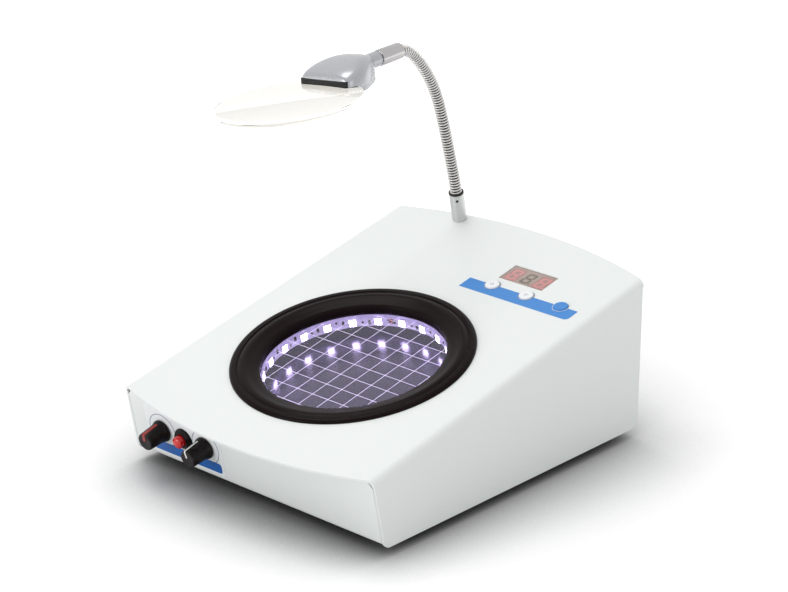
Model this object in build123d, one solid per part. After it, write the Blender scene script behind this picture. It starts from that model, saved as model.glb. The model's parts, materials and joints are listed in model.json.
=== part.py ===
from build123d import *
import os
from math import cos, degrees, radians, sin, sqrt, tan

# Bench colony counter: a sheet-steel desk housing with a sloping top, a lit glass stage in a dark
# trim ring, two dimmer knobs and a push button on the front, a counter display with three keys,
# and a magnifier on a flexible metal neck.
#
# Frame, in millimetres: +X to the operator's right, +Y to the back, +Z up. The origin is at the
# bottom centre of the whole object, on the surface that its feet stand on.

# ---------------------------------------------------------------- housing
BODY_WIDTH = 203.0        # over the side panels
TOP_LENGTH = 248.0        # along the slope, from the front corners to the rear corners
TOP_SLOPE = 12.1          # degrees; the front panel is square to the top
FRONT_HEIGHT = 45.4       # front corners above the cover's lower edge
BOW_RISE = 16.0           # how far the top plate bows out past its corners, front and rear
SHEET = 1.5               # steel thickness of cover and chassis
BEND_RADIUS = 4.5         # outside radius of the bend between top and sides
CHASSIS_BEND = 2.6        # outside radius of the chassis bends
SHEET_GAP = 0.3           # between cover and chassis all round
SIDE_FRONT_RADIUS = 5.0   # rounded lower corners of the side panels
SIDE_REAR_RADIUS = 7.0
GROUND_CLEARANCE = 7.0    # cover's lower edge above the table
BASE_RECESS = 2.0         # underside of the base above the cover's lower edge

# ---------------------------------------------------------------- screws
M3_RADIUS = 1.5
SCREW_CLEARANCE = 0.2     # radial, where a screw passes a sheet
THREAD_CLEARANCE = 0.05   # radial, between a screw and its thread
HEAD_RADIUS = 2.8         # pan head of an M3 screw
HEAD_HEIGHT = 1.8
NUT_FLATS = 5.5           # M3 nut
NUT_HEIGHT = 2.4
SHORT_SCREW_LENGTH = 6.0

# ---------------------------------------------------------------- feet and cover brackets
FOOT_RADIUS = 8.0
FOOT_TAPER = 1.2
FOOT_BORE_DEPTH = 4.0     # counterbore that hides the screw head
FOOT_INSET_X = 17.0       # from the side panel
FOOT_INSET_Y = 34.0       # from the front and rear corners
BRACKET_WIDTH = 16.0
BRACKET_LEG = 12.0
BRACKET_INSET_Y = 66.0

# ---------------------------------------------------------------- lit stage
RING_BORE = 56.5          # opening over the glass
RING_WIDTH = 18.5         # from the bore to the outer edge
RING_HEIGHT = 2.6
RING_BEAD = 5.0           # width of the rounded outer bead
RING_LIP = 3.5            # how far the ring covers the glass's rim
GLASS_DEPTH = 4.5         # glass top below the housing's top
GLASS_THICKNESS = 2.0
GLASS_REBATE = 0.5        # step of the glass's rim, which the ring's lip holds
GLASS_SEAT = 2.0          # width of the rim that rests on the gasket
GASKET_THICKNESS = 0.5
SPIGOT_WALL = 2.5
SPIGOT_BELOW_RIM = 1.0    # spigot's end below the tray's rim
STAGE_FIT = 0.3           # radial clearance round glass, tray and spigot
TRAY_WALL = 1.5
TRAY_FLOOR_DEPTH = 19.5   # tray floor below the housing's top
STUD_INSET = 6.0          # studs from the edge of the tray's flange
STUD_COUNT = 4
STUD_LENGTH = 11.5

# ---------------------------------------------------------------- lamp
TAPE_WIDTH = 8.0
TAPE_THICKNESS = 0.3
LAMP_COUNT = 22
LAMP_PHASE = 3.2          # degrees, first lamp from +X
LAMP_SIZE = 5.0
LAMP_THICKNESS = 1.6

# ---------------------------------------------------------------- display and keys
DISPLAY_FROM_SIDE = 64.8  # centre of the display window from the right side panel
DISPLAY_FROM_REAR = 31.7  # the same from the rear corners, along the slope
DISPLAY_WIDTH = 33.6
DISPLAY_HEIGHT = 16.6
WINDOW_THICKNESS = 0.8
STRIP_FROM_SIDE = 12.5    # printed key strip's right end from the right side panel
STRIP_FROM_REAR = 49.0    # its upper edge from the rear corners, along the slope
STRIP_LENGTH = 85.0
STRIP_WIDTH = 11.0
STRIP_THICKNESS = 0.3
STRIP_CORNER = 3.0
KEY_FROM_STRIP_END = 39.6 # middle key from the strip's right end
KEY_BELOW_EDGE = 0.6      # key centres below the strip's upper edge
KEY_PITCH = 27.0
KEY_RADIUS = 4.6
KEY_RING = 1.4            # strip's border round each key
KEY_PROUD = 1.2           # key top above the housing's top
KEY_HEAD = 2.6
KEY_TRAVEL = 0.8
KEY_STEM_RADIUS = 1.7
KEY_STEM_DEPTH = 1.2      # how far the stem is in its switch at rest
KEY_EDGE_RADIUS = 0.7
KEY_GAP = 0.3             # radial, key in its hole
RUNNING_FIT = 0.05        # radial, for shafts and plungers
SWITCH_SIZE = 6.0
SWITCH_HEIGHT = 3.5
SWITCH_END_GAP = 0.4      # below the stem when its key is pressed

# ---------------------------------------------------------------- circuit boards
BOARD_THICKNESS = 1.6
BOARD_DEPTH = 10.0        # top face of the control board below the housing's top
BOARD_FROM_SIDE = 8.5     # board's right edge from the right side panel
BOARD_FROM_REAR = 16.0    # its rear edge from the rear corners, along the slope
BOARD_WIDTH = 87.0
BOARD_LENGTH = 48.0
BOARD_SCREW_INSET = 4.0   # screws from the board's sides and rear edge
BOARD_SCREW_FRONT = 2.5   # screws from its front edge, clear of the switches
STANDOFF_RADIUS = 2.75
CHIP_SIZE = 12.0
CHIP_THICKNESS = 1.6
CHIP_IN = 24.0            # chip centre from the board's left edge
CHIP_UP = 20.0            # and from its front edge
BUZZER_RADIUS = 6.0
BUZZER_HEIGHT = 8.0
BUZZER_IN = 66.0          # sounder centre from the board's left edge
BUZZER_UP = 28.0          # and from its front edge
BUZZER_HOLE_RADIUS = 1.0
BUZZER_HOLE_DEPTH = 5.0

# ---------------------------------------------------------------- front controls
BUTTON_FROM_SIDE = 45.4   # from the left side panel
CONTROL_PITCH = 18.2      # knob to button to knob
CONTROL_HEIGHT = 22.2     # up the front panel from the cover's lower edge
POT_BODY_RADIUS = 8.0
POT_BODY_DEPTH = 9.0
POT_WALL = 1.2
POT_BORE_START = 2.0      # shaft's bore above the can's floor
POT_SHAFT_END_GAP = 0.4   # shaft's end above the bore's floor
WIPER_RADIUS = 5.6
WIPER_LOW = 3.0           # wiper disc above the can's floor
WIPER_THICKNESS = 1.4
POT_BUSHING_RADIUS = 3.9
POT_BUSHING_LENGTH = 4.9  # from the body's face
POT_SHAFT_RADIUS = 3.0
POT_SHAFT_REACH = 13.5    # shaft end in front of the panel
POT_NUT_FLATS = 10.0
POT_NUT_HEIGHT = 2.0
WASHER_THICKNESS = 0.5
WASHER_RADIUS = 5.6
KNOB_LENGTH = 15.0
KNOB_GAP = 0.6            # between knob and panel
KNOB_SKIRT_RADIUS = 7.3
KNOB_SKIRT_LENGTH = 3.5
KNOB_WAIST_RADIUS = 6.4
KNOB_TIP_RADIUS = 5.8
KNOB_RECESS_RADIUS = 6.2
KNOB_RECESS_DEPTH = 3.2
POINTER_WIDTH_LEFT = 2.2
POINTER_WIDTH_RIGHT = 1.0
POINTER_DEPTH = 0.8
POINTER_START = 1.0       # inner end of the pointer on the knob's end face
POINTER_TURN_RIGHT = 12.0 # degrees that the right pointer stands left of upright
BEZEL_RADIUS = 6.8
BEZEL_HEIGHT = 3.2
BEZEL_LIP_RADIUS = 5.4
BARREL_RADIUS = 4.9       # threaded barrel through the panel
BARREL_LENGTH = 12.0
BUTTON_RADIUS = 3.8
BUTTON_PROUD = 4.2        # cap above its bezel
BUTTON_TRAVEL = 2.0
BUTTON_STEM_RADIUS = 2.0
BUTTON_FLOOR = 5.0        # floor under the cap's spring, above the barrel's end
BUTTON_BASE = 1.0         # floor of the stem's bore, above the barrel's end
BUTTON_END_GAP = 0.6      # stem's end above that floor when the cap is in
BUTTON_SPRING_ROOM = 5.2  # below the cap, inside the barrel
BUTTON_DOME = 1.6
BUTTON_NUT_FLATS = 14.0
BUTTON_NUT_HEIGHT = 2.5
LABEL_LEFT_REACH = 31.9   # white label's left end from the button
LABEL_RIGHT_REACH = 31.5
LABEL_BOTTOM = 4.6
LABEL_TOP = 38.0
LABEL_THICKNESS = 0.2
LABEL_CORNER = 2.0
LABEL_GAP = 0.2           # round washers and bezel
PANEL_FIT = 0.1           # radial, for a bushing or barrel through a panel

# ---------------------------------------------------------------- rear sockets
POWER_X = 28.0
PROBE_X = 4.0
SOCKET_HEIGHT = 30.0
POWER_BORE = 2.8          # takes a 5.5 mm plug
POWER_PIN = 1.0
POWER_BARREL = 3.9
POWER_FLANGE = 5.5
POWER_DEPTH = 11.0
PROBE_BORE = 1.8          # takes a 3.5 mm plug
PROBE_BARREL = 3.0
PROBE_FLANGE = 4.2
PROBE_DEPTH = 14.0
SOCKET_FLANGE_HEIGHT = 1.6
SOCKET_NUT_HEIGHT = 2.0
POWER_NUT_FLATS = 11.0
PROBE_NUT_FLATS = 8.0

# ---------------------------------------------------------------- flexible neck
NECK_X = -51.0
NECK_BEHIND_CORNERS = 5.6 # behind the rear corners, along the slope, on the bowed edge
COLLAR_RADIUS = 4.8
COLLAR_HEIGHT = 19.0
COLLAR_RING_HEIGHT = 1.4
COLLAR_BORE_DEPTH = 12.0
COLLAR_STUD_RADIUS = 2.5
COLLAR_STUD_LENGTH = 8.0
COLLAR_NUT_FLATS = 8.0
COLLAR_NUT_HEIGHT = 3.5
SET_SCREW_RADIUS = 0.9
SET_SCREW_BELOW_TOP = 3.6
SET_SCREW_ANGLE = -48.0   # degrees from +X, towards the operator
NECK_RADIUS = 3.75
NECK_BORE = 1.2
NECK_FIT = 0.1
LINK_LENGTH = 15.7        # joint to joint
LINK_TURNS = (3.3, 0.5, 0.5, 3.1, 8.8, 9.2, 10.4, 45.1)  # degrees that each link curls forward
BALL_RADIUS = 2.7         # ball at the lower end of each link
BALL_FIT = 0.3            # between a ball and the cup above the link below
CUP_LIP = 0.3             # from the cup's mouth to the joint's centre
LINK_START = 1.0          # from the joint's centre to the link's lower face
LINK_TAPER = 0.8
LINK_FACE_RADIUS = 2.0
FERRULE_RADIUS = 5.3
FERRULE_LENGTH = 17.6
FERRULE_CUP = 1.5         # how far the ferrule covers the last link

# ---------------------------------------------------------------- magnifier
HEAD_ROLL = 7.5           # degrees, right side up
STEM_RADIUS = 5.0
STEM_IN_HEAD = 5.0        # how far the stem reaches into the head
PIN_RADIUS = 2.4
PIN_LENGTH = 8.0
SWIVEL_GAP = 0.3
AXIS_ABOVE_LENS = 5.0     # swivel axis above the lens rim's top
LENS_RADIUS = 45.0
LENS_EDGE = 3.5
LENS_CROWN = 2.0          # rise of each face at the middle
LENS_CENTRE = 79.3        # lens centre in front of the ferrule's end
HEAD_FRONT = 48.0         # head's front edge in front of the ferrule's end
HEAD_REAR = 12.0
HEAD_SHOULDER = 33.0
HEAD_HALF_WIDTH = 20.0
HEAD_NECK_HALF = 8.0
HEAD_TOP = 7.4            # above the swivel axis
HEAD_BAND = 4.2           # height of the upright front band above the lens rim's top
HEAD_BOTTOM = 11.6        # below the swivel axis
HEAD_DRAFT = 2.0
LENS_CLEARANCE = 0.3
LINER_HALF_WIDTH = 17.5
LINER_DEPTH = 2.0
LINER_HEIGHT = 3.0
LINER_PROUD = 0.4         # in front of the head
LINER_ABOVE_LENS = 0.1
CLAMP_SCREW_X = 6.5
CLAMP_SCREW_Y = 21.0
CLAMP_SCREW_LENGTH = 9.0

# ---------------------------------------------------------------- frames worked out from the sizes
SLOPE = radians(TOP_SLOPE)
HALF = BODY_WIDTH / 2
PLAN_DEPTH = TOP_LENGTH * cos(SLOPE)
REAR_HEIGHT = FRONT_HEIGHT + TOP_LENGTH * sin(SLOPE)
FRONT_Y = -(PLAN_DEPTH + SHEET * sin(SLOPE)) / 2
REAR_Y = FRONT_Y + PLAN_DEPTH
FRONT_TOP_Z = GROUND_CLEARANCE + FRONT_HEIGHT
BASE_Z = GROUND_CLEARANCE + BASE_RECESS
BASE_TOP_Z = BASE_Z + SHEET
DEEP = 1.3 * REAR_HEIGHT

# The top's frame: x across, y up the slope from the front corners, z square out of the top.
TOP = Plane(origin=(0, FRONT_Y, FRONT_TOP_Z), x_dir=(1, 0, 0), z_dir=(0, -sin(SLOPE), cos(SLOPE)))
# The front panel's frame: x across, y up the panel, z square out of its face.
FRONT = Plane(
    origin=(0, FRONT_Y + FRONT_HEIGHT * tan(SLOPE), GROUND_CLEARANCE),
    x_dir=(1, 0, 0),
    z_dir=(0, -cos(SLOPE), -sin(SLOPE)),
)
# The rear panel's frame: x towards the operator's left, y up, z out of its face.
REAR = Plane(origin=(0, REAR_Y, GROUND_CLEARANCE), x_dir=(-1, 0, 0), z_dir=(0, 1, 0))

# Places on the top: x across, s along the slope from the front corners.
STRIP_RIGHT = HALF - STRIP_FROM_SIDE
STRIP_LEFT = STRIP_RIGHT - STRIP_LENGTH
STRIP_TOP = TOP_LENGTH - STRIP_FROM_REAR
STRIP_BOTTOM = STRIP_TOP - STRIP_WIDTH
KEY_XS = [STRIP_RIGHT - KEY_FROM_STRIP_END + i * KEY_PITCH for i in (-1, 0, 1)]
KEY_S = STRIP_TOP - KEY_BELOW_EDGE
DISPLAY_X = HALF - DISPLAY_FROM_SIDE
DISPLAY_S = TOP_LENGTH - DISPLAY_FROM_REAR
BOARD_RIGHT = HALF - BOARD_FROM_SIDE
BOARD_LEFT = BOARD_RIGHT - BOARD_WIDTH
BOARD_REAR = TOP_LENGTH - BOARD_FROM_REAR
BOARD_FRONT = BOARD_REAR - BOARD_LENGTH
SWITCH_TOP = BOARD_DEPTH - SWITCH_HEIGHT
NECK_S = TOP_LENGTH + NECK_BEHIND_CORNERS

# The stage is midway between the front corners and the key strip.
STAGE_FROM_FRONT = STRIP_BOTTOM / 2
STAGE = TOP.location * Pos(0, STAGE_FROM_FRONT, 0)
RING_RADIUS = RING_BORE + RING_WIDTH
GLASS_FACE_RADIUS = RING_BORE - STAGE_FIT
GLASS_RADIUS = RING_BORE + RING_LIP
LIP_DEPTH = GLASS_DEPTH + GLASS_REBATE
GLASS_BOTTOM = GLASS_DEPTH + GLASS_THICKNESS
TRAY_RADIUS = GLASS_RADIUS - GLASS_SEAT
TRAY_RIM = GLASS_BOTTOM + GASKET_THICKNESS
SPIGOT_BORE = GLASS_RADIUS + STAGE_FIT
SPIGOT_RADIUS = SPIGOT_BORE + SPIGOT_WALL
SPIGOT_DEPTH = TRAY_RIM + SPIGOT_BELOW_RIM
FLANGE_TOP = SPIGOT_DEPTH + STAGE_FIT
FLANGE_RADIUS = RING_RADIUS
STUD_CIRCLE = FLANGE_RADIUS - STUD_INSET

# Places on the front panel, across.
BUTTON_X = BUTTON_FROM_SIDE - HALF
LEFT_KNOB_X = BUTTON_X - CONTROL_PITCH
RIGHT_KNOB_X = BUTTON_X + CONTROL_PITCH


# ---------------------------------------------------------------- building blocks
def slab(x_low, x_high, y_low, y_high, z_low, z_high):
    """A box between two corners."""
    size = (x_high - x_low, y_high - y_low, z_high - z_low)
    return Pos(x_low, y_low, z_low) * Box(*size, align=(Align.MIN, Align.MIN, Align.MIN))


def drum(radius, low, high):
    """A cylinder on the z axis, from low to high."""
    return Pos(0, 0, low) * Cylinder(radius, high - low, align=(Align.CENTER, Align.CENTER, Align.MIN))


def pipe(outer, inner, low, high):
    """A tube on the z axis."""
    return drum(outer, low, high) - drum(inner, low - 1, high + 1)


def hexagon(flats, low, high):
    """A hexagon bar on the z axis, by its width across flats."""
    outline = RegularPolygon(flats / sqrt(3), 6)
    return Pos(0, 0, low) * extrude(outline, high - low)


def nut(flats, bore, low, high):
    """A hexagon nut on the z axis."""
    return hexagon(flats, low, high) - drum(bore, low - 1, high + 1)


def turned(*points):
    """A solid turned about the z axis from a closed outline of (radius, height) points."""
    outline = Polyline(*[(r, 0, z) for r, z in points], close=True)
    return revolve(make_face(outline), Axis.Z)


def pan_screw(length):
    """A pan-head screw: the head hangs below z = 0 and the shank rises by length."""
    head = drum(HEAD_RADIUS, -HEAD_HEIGHT, 0)
    head = fillet(head.edges().group_by(Axis.Z)[0], HEAD_HEIGHT / 2)
    return head + drum(M3_RADIUS, 0, length)


def placed(frame, places, piece):
    """Copies of a piece at several points of a frame."""
    return [frame * Pos(*place) * piece for place in places]


def write(node, *pieces):
    """Writes one node's solids to its STEP file."""
    solids = [solid for piece in pieces for solid in piece.solids()]
    shape = solids[0] if len(solids) == 1 else Compound(children=solids)
    export_step(shape, f"parts/{node}.step")


# ---------------------------------------------------------------- housing
def top_outline():
    """The top plate's outline: straight sides and a bowed front and rear edge."""
    edges = [
        ThreePointArc((-HALF, 0), (0, -BOW_RISE), (HALF, 0)),
        Line((HALF, 0), (HALF, TOP_LENGTH)),
        ThreePointArc((HALF, TOP_LENGTH), (0, TOP_LENGTH + BOW_RISE), (-HALF, TOP_LENGTH)),
        Line((-HALF, TOP_LENGTH), (-HALF, 0)),
    ]
    return make_face(edges)


def folded_channel(half_width, top, radius):
    """A long block whose two upper edges are rounded, in the top's frame."""
    reach = BOW_RISE + 2
    block = slab(-half_width, half_width, -reach, TOP_LENGTH + reach, -DEEP, top)
    edges = block.edges().filter_by(Axis.Y).group_by(Axis.Z)[-1]
    return fillet(edges, radius)


def key_holes(radius):
    """Round holes through the top at the three keys."""
    return [Pos(x, KEY_S, 0) * drum(radius, -SHEET - 1, STRIP_THICKNESS + 1) for x in KEY_XS]


def cover_openings():
    """What is cut out of the top plate, in the top's frame."""
    half_w = DISPLAY_WIDTH / 2 + SHEET_GAP
    half_h = DISPLAY_HEIGHT / 2 + SHEET_GAP
    window = slab(-half_w, half_w, -half_h, half_h, -SHEET - 1, 1)
    cuts = [
        Pos(0, STAGE_FROM_FRONT, 0) * drum(SPIGOT_RADIUS + STAGE_FIT, -SHEET - 1, 1),
        Pos(DISPLAY_X, DISPLAY_S, 0) * window,
        Pos(NECK_X, NECK_S, 0) * drum(COLLAR_STUD_RADIUS + SCREW_CLEARANCE, -SHEET - 1, 1),
    ]
    return cuts + key_holes(KEY_RADIUS + KEY_GAP)


def top_cover():
    """Top plate and both side panels, folded from one sheet."""
    shell = folded_channel(HALF, 0, BEND_RADIUS)
    shell -= folded_channel(HALF - SHEET, -SHEET, BEND_RADIUS - SHEET)
    shell &= extrude(top_outline(), -DEEP)
    reach = BOW_RISE + 2
    shell -= slab(-HALF - 1, HALF + 1, -reach, 0, -DEEP - 1, -BEND_RADIUS)
    for cut in cover_openings():
        shell -= cut
    shell = TOP.location * shell
    below_bend = slab(-HALF - 1, HALF + 1, 0, TOP_LENGTH + 4 * reach, -2 * DEEP, -BEND_RADIUS)
    behind = slab(-HALF - 2, HALF + 2, REAR_Y, REAR_Y + DEEP, -DEEP, 3 * DEEP)
    shell -= behind & (TOP.location * below_bend)
    far = 2 * TOP_LENGTH
    shell -= slab(-HALF - 2, HALF + 2, -far, far, -far, GROUND_CLEARANCE)
    lowest = shell.edges().filter_by(Axis.X).group_by(Axis.Z)[0]
    front_edges = [edge for edge in lowest if edge.center().Y < 0]
    shell = fillet(front_edges, SIDE_FRONT_RADIUS)
    lowest = shell.edges().filter_by(Axis.X).group_by(Axis.Z)[0]
    rear_edges = [edge for edge in lowest if edge.center().Y > REAR_Y - SIDE_REAR_RADIUS]
    return fillet(rear_edges, SIDE_REAR_RADIUS)


def chassis_profile():
    """The chassis seen from the side: front panel, base and rear panel, in (y, z)."""
    clear = (SHEET + SHEET_GAP) / cos(SLOPE)

    def front_y(z):
        return FRONT_Y + (FRONT_TOP_Z - z) * tan(SLOPE)

    def top_z(y):
        return FRONT_TOP_Z + (y - FRONT_Y) * tan(SLOPE) - clear

    wall = SHEET / cos(SLOPE)
    lip = SHEET + SHEET_GAP
    front_tip = (FRONT_Y + lip * sin(SLOPE), FRONT_TOP_Z - lip * cos(SLOPE))
    front_tip_in = (front_tip[0] + SHEET * cos(SLOPE), front_tip[1] + SHEET * sin(SLOPE))
    return [
        front_tip,
        (front_y(BASE_Z), BASE_Z),
        (REAR_Y, BASE_Z),
        (REAR_Y, top_z(REAR_Y)),
        (REAR_Y - SHEET, top_z(REAR_Y - SHEET)),
        (REAR_Y - SHEET, BASE_TOP_Z),
        (front_y(BASE_TOP_Z) + wall, BASE_TOP_Z),
        front_tip_in,
    ]


def foot_places():
    """Foot centres, in (x, y)."""
    x = HALF - FOOT_INSET_X
    return [(sx * x, y) for sx in (-1, 1) for y in (FRONT_Y + FOOT_INSET_Y, REAR_Y - FOOT_INSET_Y)]


def bracket_places():
    """Cover bracket screws, in (x, y, side)."""
    x = HALF - SHEET - BRACKET_LEG / 2
    ys = (FRONT_Y + BRACKET_INSET_Y, REAR_Y - BRACKET_INSET_Y)
    return [(side * x, y, side) for side in (-1, 1) for y in ys]


def chassis():
    """Front panel, base and rear panel, folded from one sheet."""
    half = HALF - SHEET - SHEET_GAP
    points = [(0, y, z) for y, z in chassis_profile()]
    side = make_face(Polyline(*points, close=True))
    body = Pos(-half, 0, 0) * extrude(side, 2 * half, dir=(1, 0, 0))
    bottom = body.edges().filter_by(Axis.X).group_by(Axis.Z)[0]
    body = fillet(bottom, CHASSIS_BEND)
    inner = [
        edge
        for edge in body.edges().filter_by(Axis.X)
        if abs(edge.center().Z - BASE_TOP_Z) < 0.01
    ]
    body = fillet(inner, CHASSIS_BEND - SHEET)
    corner = BEND_RADIUS - SHEET
    for side_x in (-half, half):
        for rear in (False, True):
            body -= corner_cut(side_x, rear, corner)
    hole = M3_RADIUS + SCREW_CLEARANCE
    spots = foot_places() + [(x, y) for x, y, _ in bracket_places()]
    for x, y in spots:
        body -= Pos(x, y, 0) * drum(hole, BASE_Z - 1, BASE_TOP_Z + 1)
    for x in (LEFT_KNOB_X, RIGHT_KNOB_X):
        body -= FRONT.location * Pos(x, CONTROL_HEIGHT, 0) * drum(POT_BUSHING_RADIUS + PANEL_FIT, -4, 1)
    body -= FRONT.location * Pos(BUTTON_X, CONTROL_HEIGHT, 0) * drum(BARREL_RADIUS + PANEL_FIT, -4, 1)
    body -= REAR.location * Pos(-POWER_X, SOCKET_HEIGHT, 0) * drum(POWER_BARREL + PANEL_FIT, -4, 1)
    body -= REAR.location * Pos(-PROBE_X, SOCKET_HEIGHT, 0) * drum(PROBE_BARREL + PANEL_FIT, -4, 1)
    return body


def corner_cut(x, rear, size):
    """A square bar that takes a panel's upper corner off where the cover's bend passes."""
    s = TOP_LENGTH if rear else 0
    bar = Rot(0, 45, 0) * slab(-size, size, -9, 9, -size, size)
    return TOP.location * Pos(x, s, -SHEET - SHEET_GAP) * bar


def cover_brackets():
    """Four angle brackets welded inside the side panels; the base is screwed to them."""
    hole = M3_RADIUS + THREAD_CLEARANCE
    pieces = []
    for x, y, side in bracket_places():
        wall_x = side * (HALF - SHEET)
        inner_x = wall_x - side * BRACKET_LEG
        lows = (min(wall_x, inner_x), max(wall_x, inner_x))
        leg_in = wall_x - side * SHEET
        uprights = (min(wall_x, leg_in), max(wall_x, leg_in))
        half = BRACKET_WIDTH / 2
        foot = slab(*lows, y - half, y + half, BASE_TOP_Z, BASE_TOP_Z + SHEET)
        upright = slab(*uprights, y - half, y + half, BASE_TOP_Z, BASE_TOP_Z + BRACKET_LEG)
        pieces.append(foot + upright - Pos(x, y, 0) * drum(hole, 0, BASE_TOP_Z + 2 * SHEET))
    return pieces


def rubber_feet():
    """Four tapered rubber feet with a counterbore for their screw."""
    foot = turned(
        (M3_RADIUS + SCREW_CLEARANCE, FOOT_BORE_DEPTH),
        (HEAD_RADIUS + 0.6, FOOT_BORE_DEPTH),
        (HEAD_RADIUS + 0.6, 0),
        (FOOT_RADIUS - FOOT_TAPER - 0.8, 0),
        (FOOT_RADIUS - FOOT_TAPER, 0.8),
        (FOOT_RADIUS, BASE_Z),
        (M3_RADIUS + SCREW_CLEARANCE, BASE_Z),
    )
    return [Pos(x, y, 0) * foot for x, y in foot_places()]


def foot_screws():
    """Screws up through the feet and the base."""
    length = BASE_TOP_Z - FOOT_BORE_DEPTH + NUT_HEIGHT + 0.8
    screw = Pos(0, 0, FOOT_BORE_DEPTH) * pan_screw(length)
    return [Pos(x, y, 0) * screw for x, y in foot_places()]


# ---------------------------------------------------------------- lit stage
def stage_ring():
    """Dark trim ring: outer bead, groove, flat band, slope to the bore, and a spigot below."""
    bead = RING_RADIUS - RING_BEAD
    piece = turned(
        (RING_RADIUS, 0),
        (RING_RADIUS, RING_HEIGHT * 0.45),
        (RING_RADIUS - 0.7, RING_HEIGHT * 0.8),
        (RING_RADIUS - 2.0, RING_HEIGHT),
        (bead + 0.8, RING_HEIGHT),
        (bead, RING_HEIGHT - 0.8),
        (bead - 0.8, RING_HEIGHT - 0.4),
        (SPIGOT_RADIUS, RING_HEIGHT - 0.7),
        (RING_BORE + 1.0, 0.3),
        (RING_BORE, -0.8),
        (RING_BORE, -LIP_DEPTH),
        (SPIGOT_BORE, -LIP_DEPTH),
        (SPIGOT_BORE, -SPIGOT_DEPTH),
        (SPIGOT_RADIUS, -SPIGOT_DEPTH),
        (SPIGOT_RADIUS, 0),
    )
    return STAGE * piece


def grid_glass():
    """The glass that the dish stands on, with a stepped rim that the ring's lip holds."""
    rim = drum(GLASS_RADIUS, -GLASS_BOTTOM, -LIP_DEPTH)
    return STAGE * (rim + drum(GLASS_FACE_RADIUS, -GLASS_BOTTOM, -GLASS_DEPTH))


def glass_gasket():
    """Rubber ring between the glass and the tray's rim."""
    return STAGE * pipe(GLASS_RADIUS, TRAY_RADIUS, -TRAY_RIM, -GLASS_BOTTOM)


def stud_places():
    """Weld studs round the stage, in the stage's frame."""
    turn = [radians(45 + 360 * i / STUD_COUNT) for i in range(STUD_COUNT)]
    return [(STUD_CIRCLE * cos(a), STUD_CIRCLE * sin(a), 0) for a in turn]


def lamp_tray():
    """Black tray under the glass: it carries the lamp tape and its floor mirrors the lamps."""
    outer = TRAY_RADIUS + TRAY_WALL
    piece = turned(
        (0, -TRAY_FLOOR_DEPTH),
        (TRAY_RADIUS, -TRAY_FLOOR_DEPTH),
        (TRAY_RADIUS, -TRAY_RIM),
        (outer, -TRAY_RIM),
        (outer, -FLANGE_TOP),
        (FLANGE_RADIUS, -FLANGE_TOP),
        (FLANGE_RADIUS, -FLANGE_TOP - TRAY_WALL),
        (outer, -FLANGE_TOP - TRAY_WALL),
        (outer, -TRAY_FLOOR_DEPTH - TRAY_WALL),
        (0, -TRAY_FLOOR_DEPTH - TRAY_WALL),
    )
    hole = drum(M3_RADIUS + SCREW_CLEARANCE, -FLANGE_TOP - TRAY_WALL - 1, -FLANGE_TOP + 1)
    for place in stud_places():
        piece -= Pos(*place) * hole
    return STAGE * piece


def tray_studs():
    """Studs welded under the top plate."""
    stud = drum(M3_RADIUS, -SHEET - STUD_LENGTH, -SHEET)
    return placed(STAGE, stud_places(), stud)


def lamp_tape():
    """Flexible lamp tape, a closed hoop on the tray's wall."""
    top = -TRAY_RIM
    return STAGE * pipe(TRAY_RADIUS, TRAY_RADIUS - TAPE_THICKNESS, top - TAPE_WIDTH, top)


def lamps():
    """Lamp packages evenly round the tape, facing the middle."""
    face = TRAY_RADIUS - TAPE_THICKNESS
    depth = sqrt(face**2 - (LAMP_SIZE / 2) ** 2)
    centre_z = -TRAY_RIM - TAPE_WIDTH / 2
    half = LAMP_SIZE / 2
    block = slab(depth - LAMP_THICKNESS, depth, -half, half, centre_z - half, centre_z + half)
    step = 360 / LAMP_COUNT
    return [STAGE * Rot(0, 0, LAMP_PHASE + i * step) * block for i in range(LAMP_COUNT)]


# ---------------------------------------------------------------- display and keys
def key_strip():
    """Printed strip below the display with a round border at each key."""
    strip = slab(STRIP_LEFT, STRIP_RIGHT, STRIP_BOTTOM, STRIP_TOP, 0, STRIP_THICKNESS)
    corner = strip.edges().filter_by(Axis.Z).sort_by(Axis.X)[-2:].sort_by(Axis.Y)[0]
    strip = fillet(corner, STRIP_CORNER)
    for x in KEY_XS:
        strip += Pos(x, KEY_S, 0) * drum(KEY_RADIUS + KEY_GAP + KEY_RING, 0, STRIP_THICKNESS)
    for hole in key_holes(KEY_RADIUS + KEY_GAP):
        strip -= hole
    return TOP.location * strip


def key(x):
    """One key: a domed round head and a plunger down into its switch."""
    head = drum(KEY_RADIUS, KEY_PROUD - KEY_HEAD, KEY_PROUD)
    head = fillet(head.edges().group_by(Axis.Z)[-1], KEY_EDGE_RADIUS)
    stem = drum(KEY_STEM_RADIUS, -SWITCH_TOP - KEY_STEM_DEPTH, KEY_PROUD - KEY_HEAD)
    return TOP.location * Pos(x, KEY_S, 0) * (head + stem)


def key_switches():
    """Three switch bodies on the control board."""
    half = SWITCH_SIZE / 2
    body = slab(-half, half, -half, half, -BOARD_DEPTH, -SWITCH_TOP)
    floor = -SWITCH_TOP - KEY_STEM_DEPTH - KEY_TRAVEL - SWITCH_END_GAP
    body -= drum(KEY_STEM_RADIUS + RUNNING_FIT, floor, 1)
    return placed(TOP.location, [(x, KEY_S, 0) for x in KEY_XS], body)


def display_window():
    """Thin window flush with the top."""
    half_w = DISPLAY_WIDTH / 2
    half_h = DISPLAY_HEIGHT / 2
    pane = slab(-half_w, half_w, -half_h, half_h, -WINDOW_THICKNESS, 0)
    return TOP.location * Pos(DISPLAY_X, DISPLAY_S, 0) * pane


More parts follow.
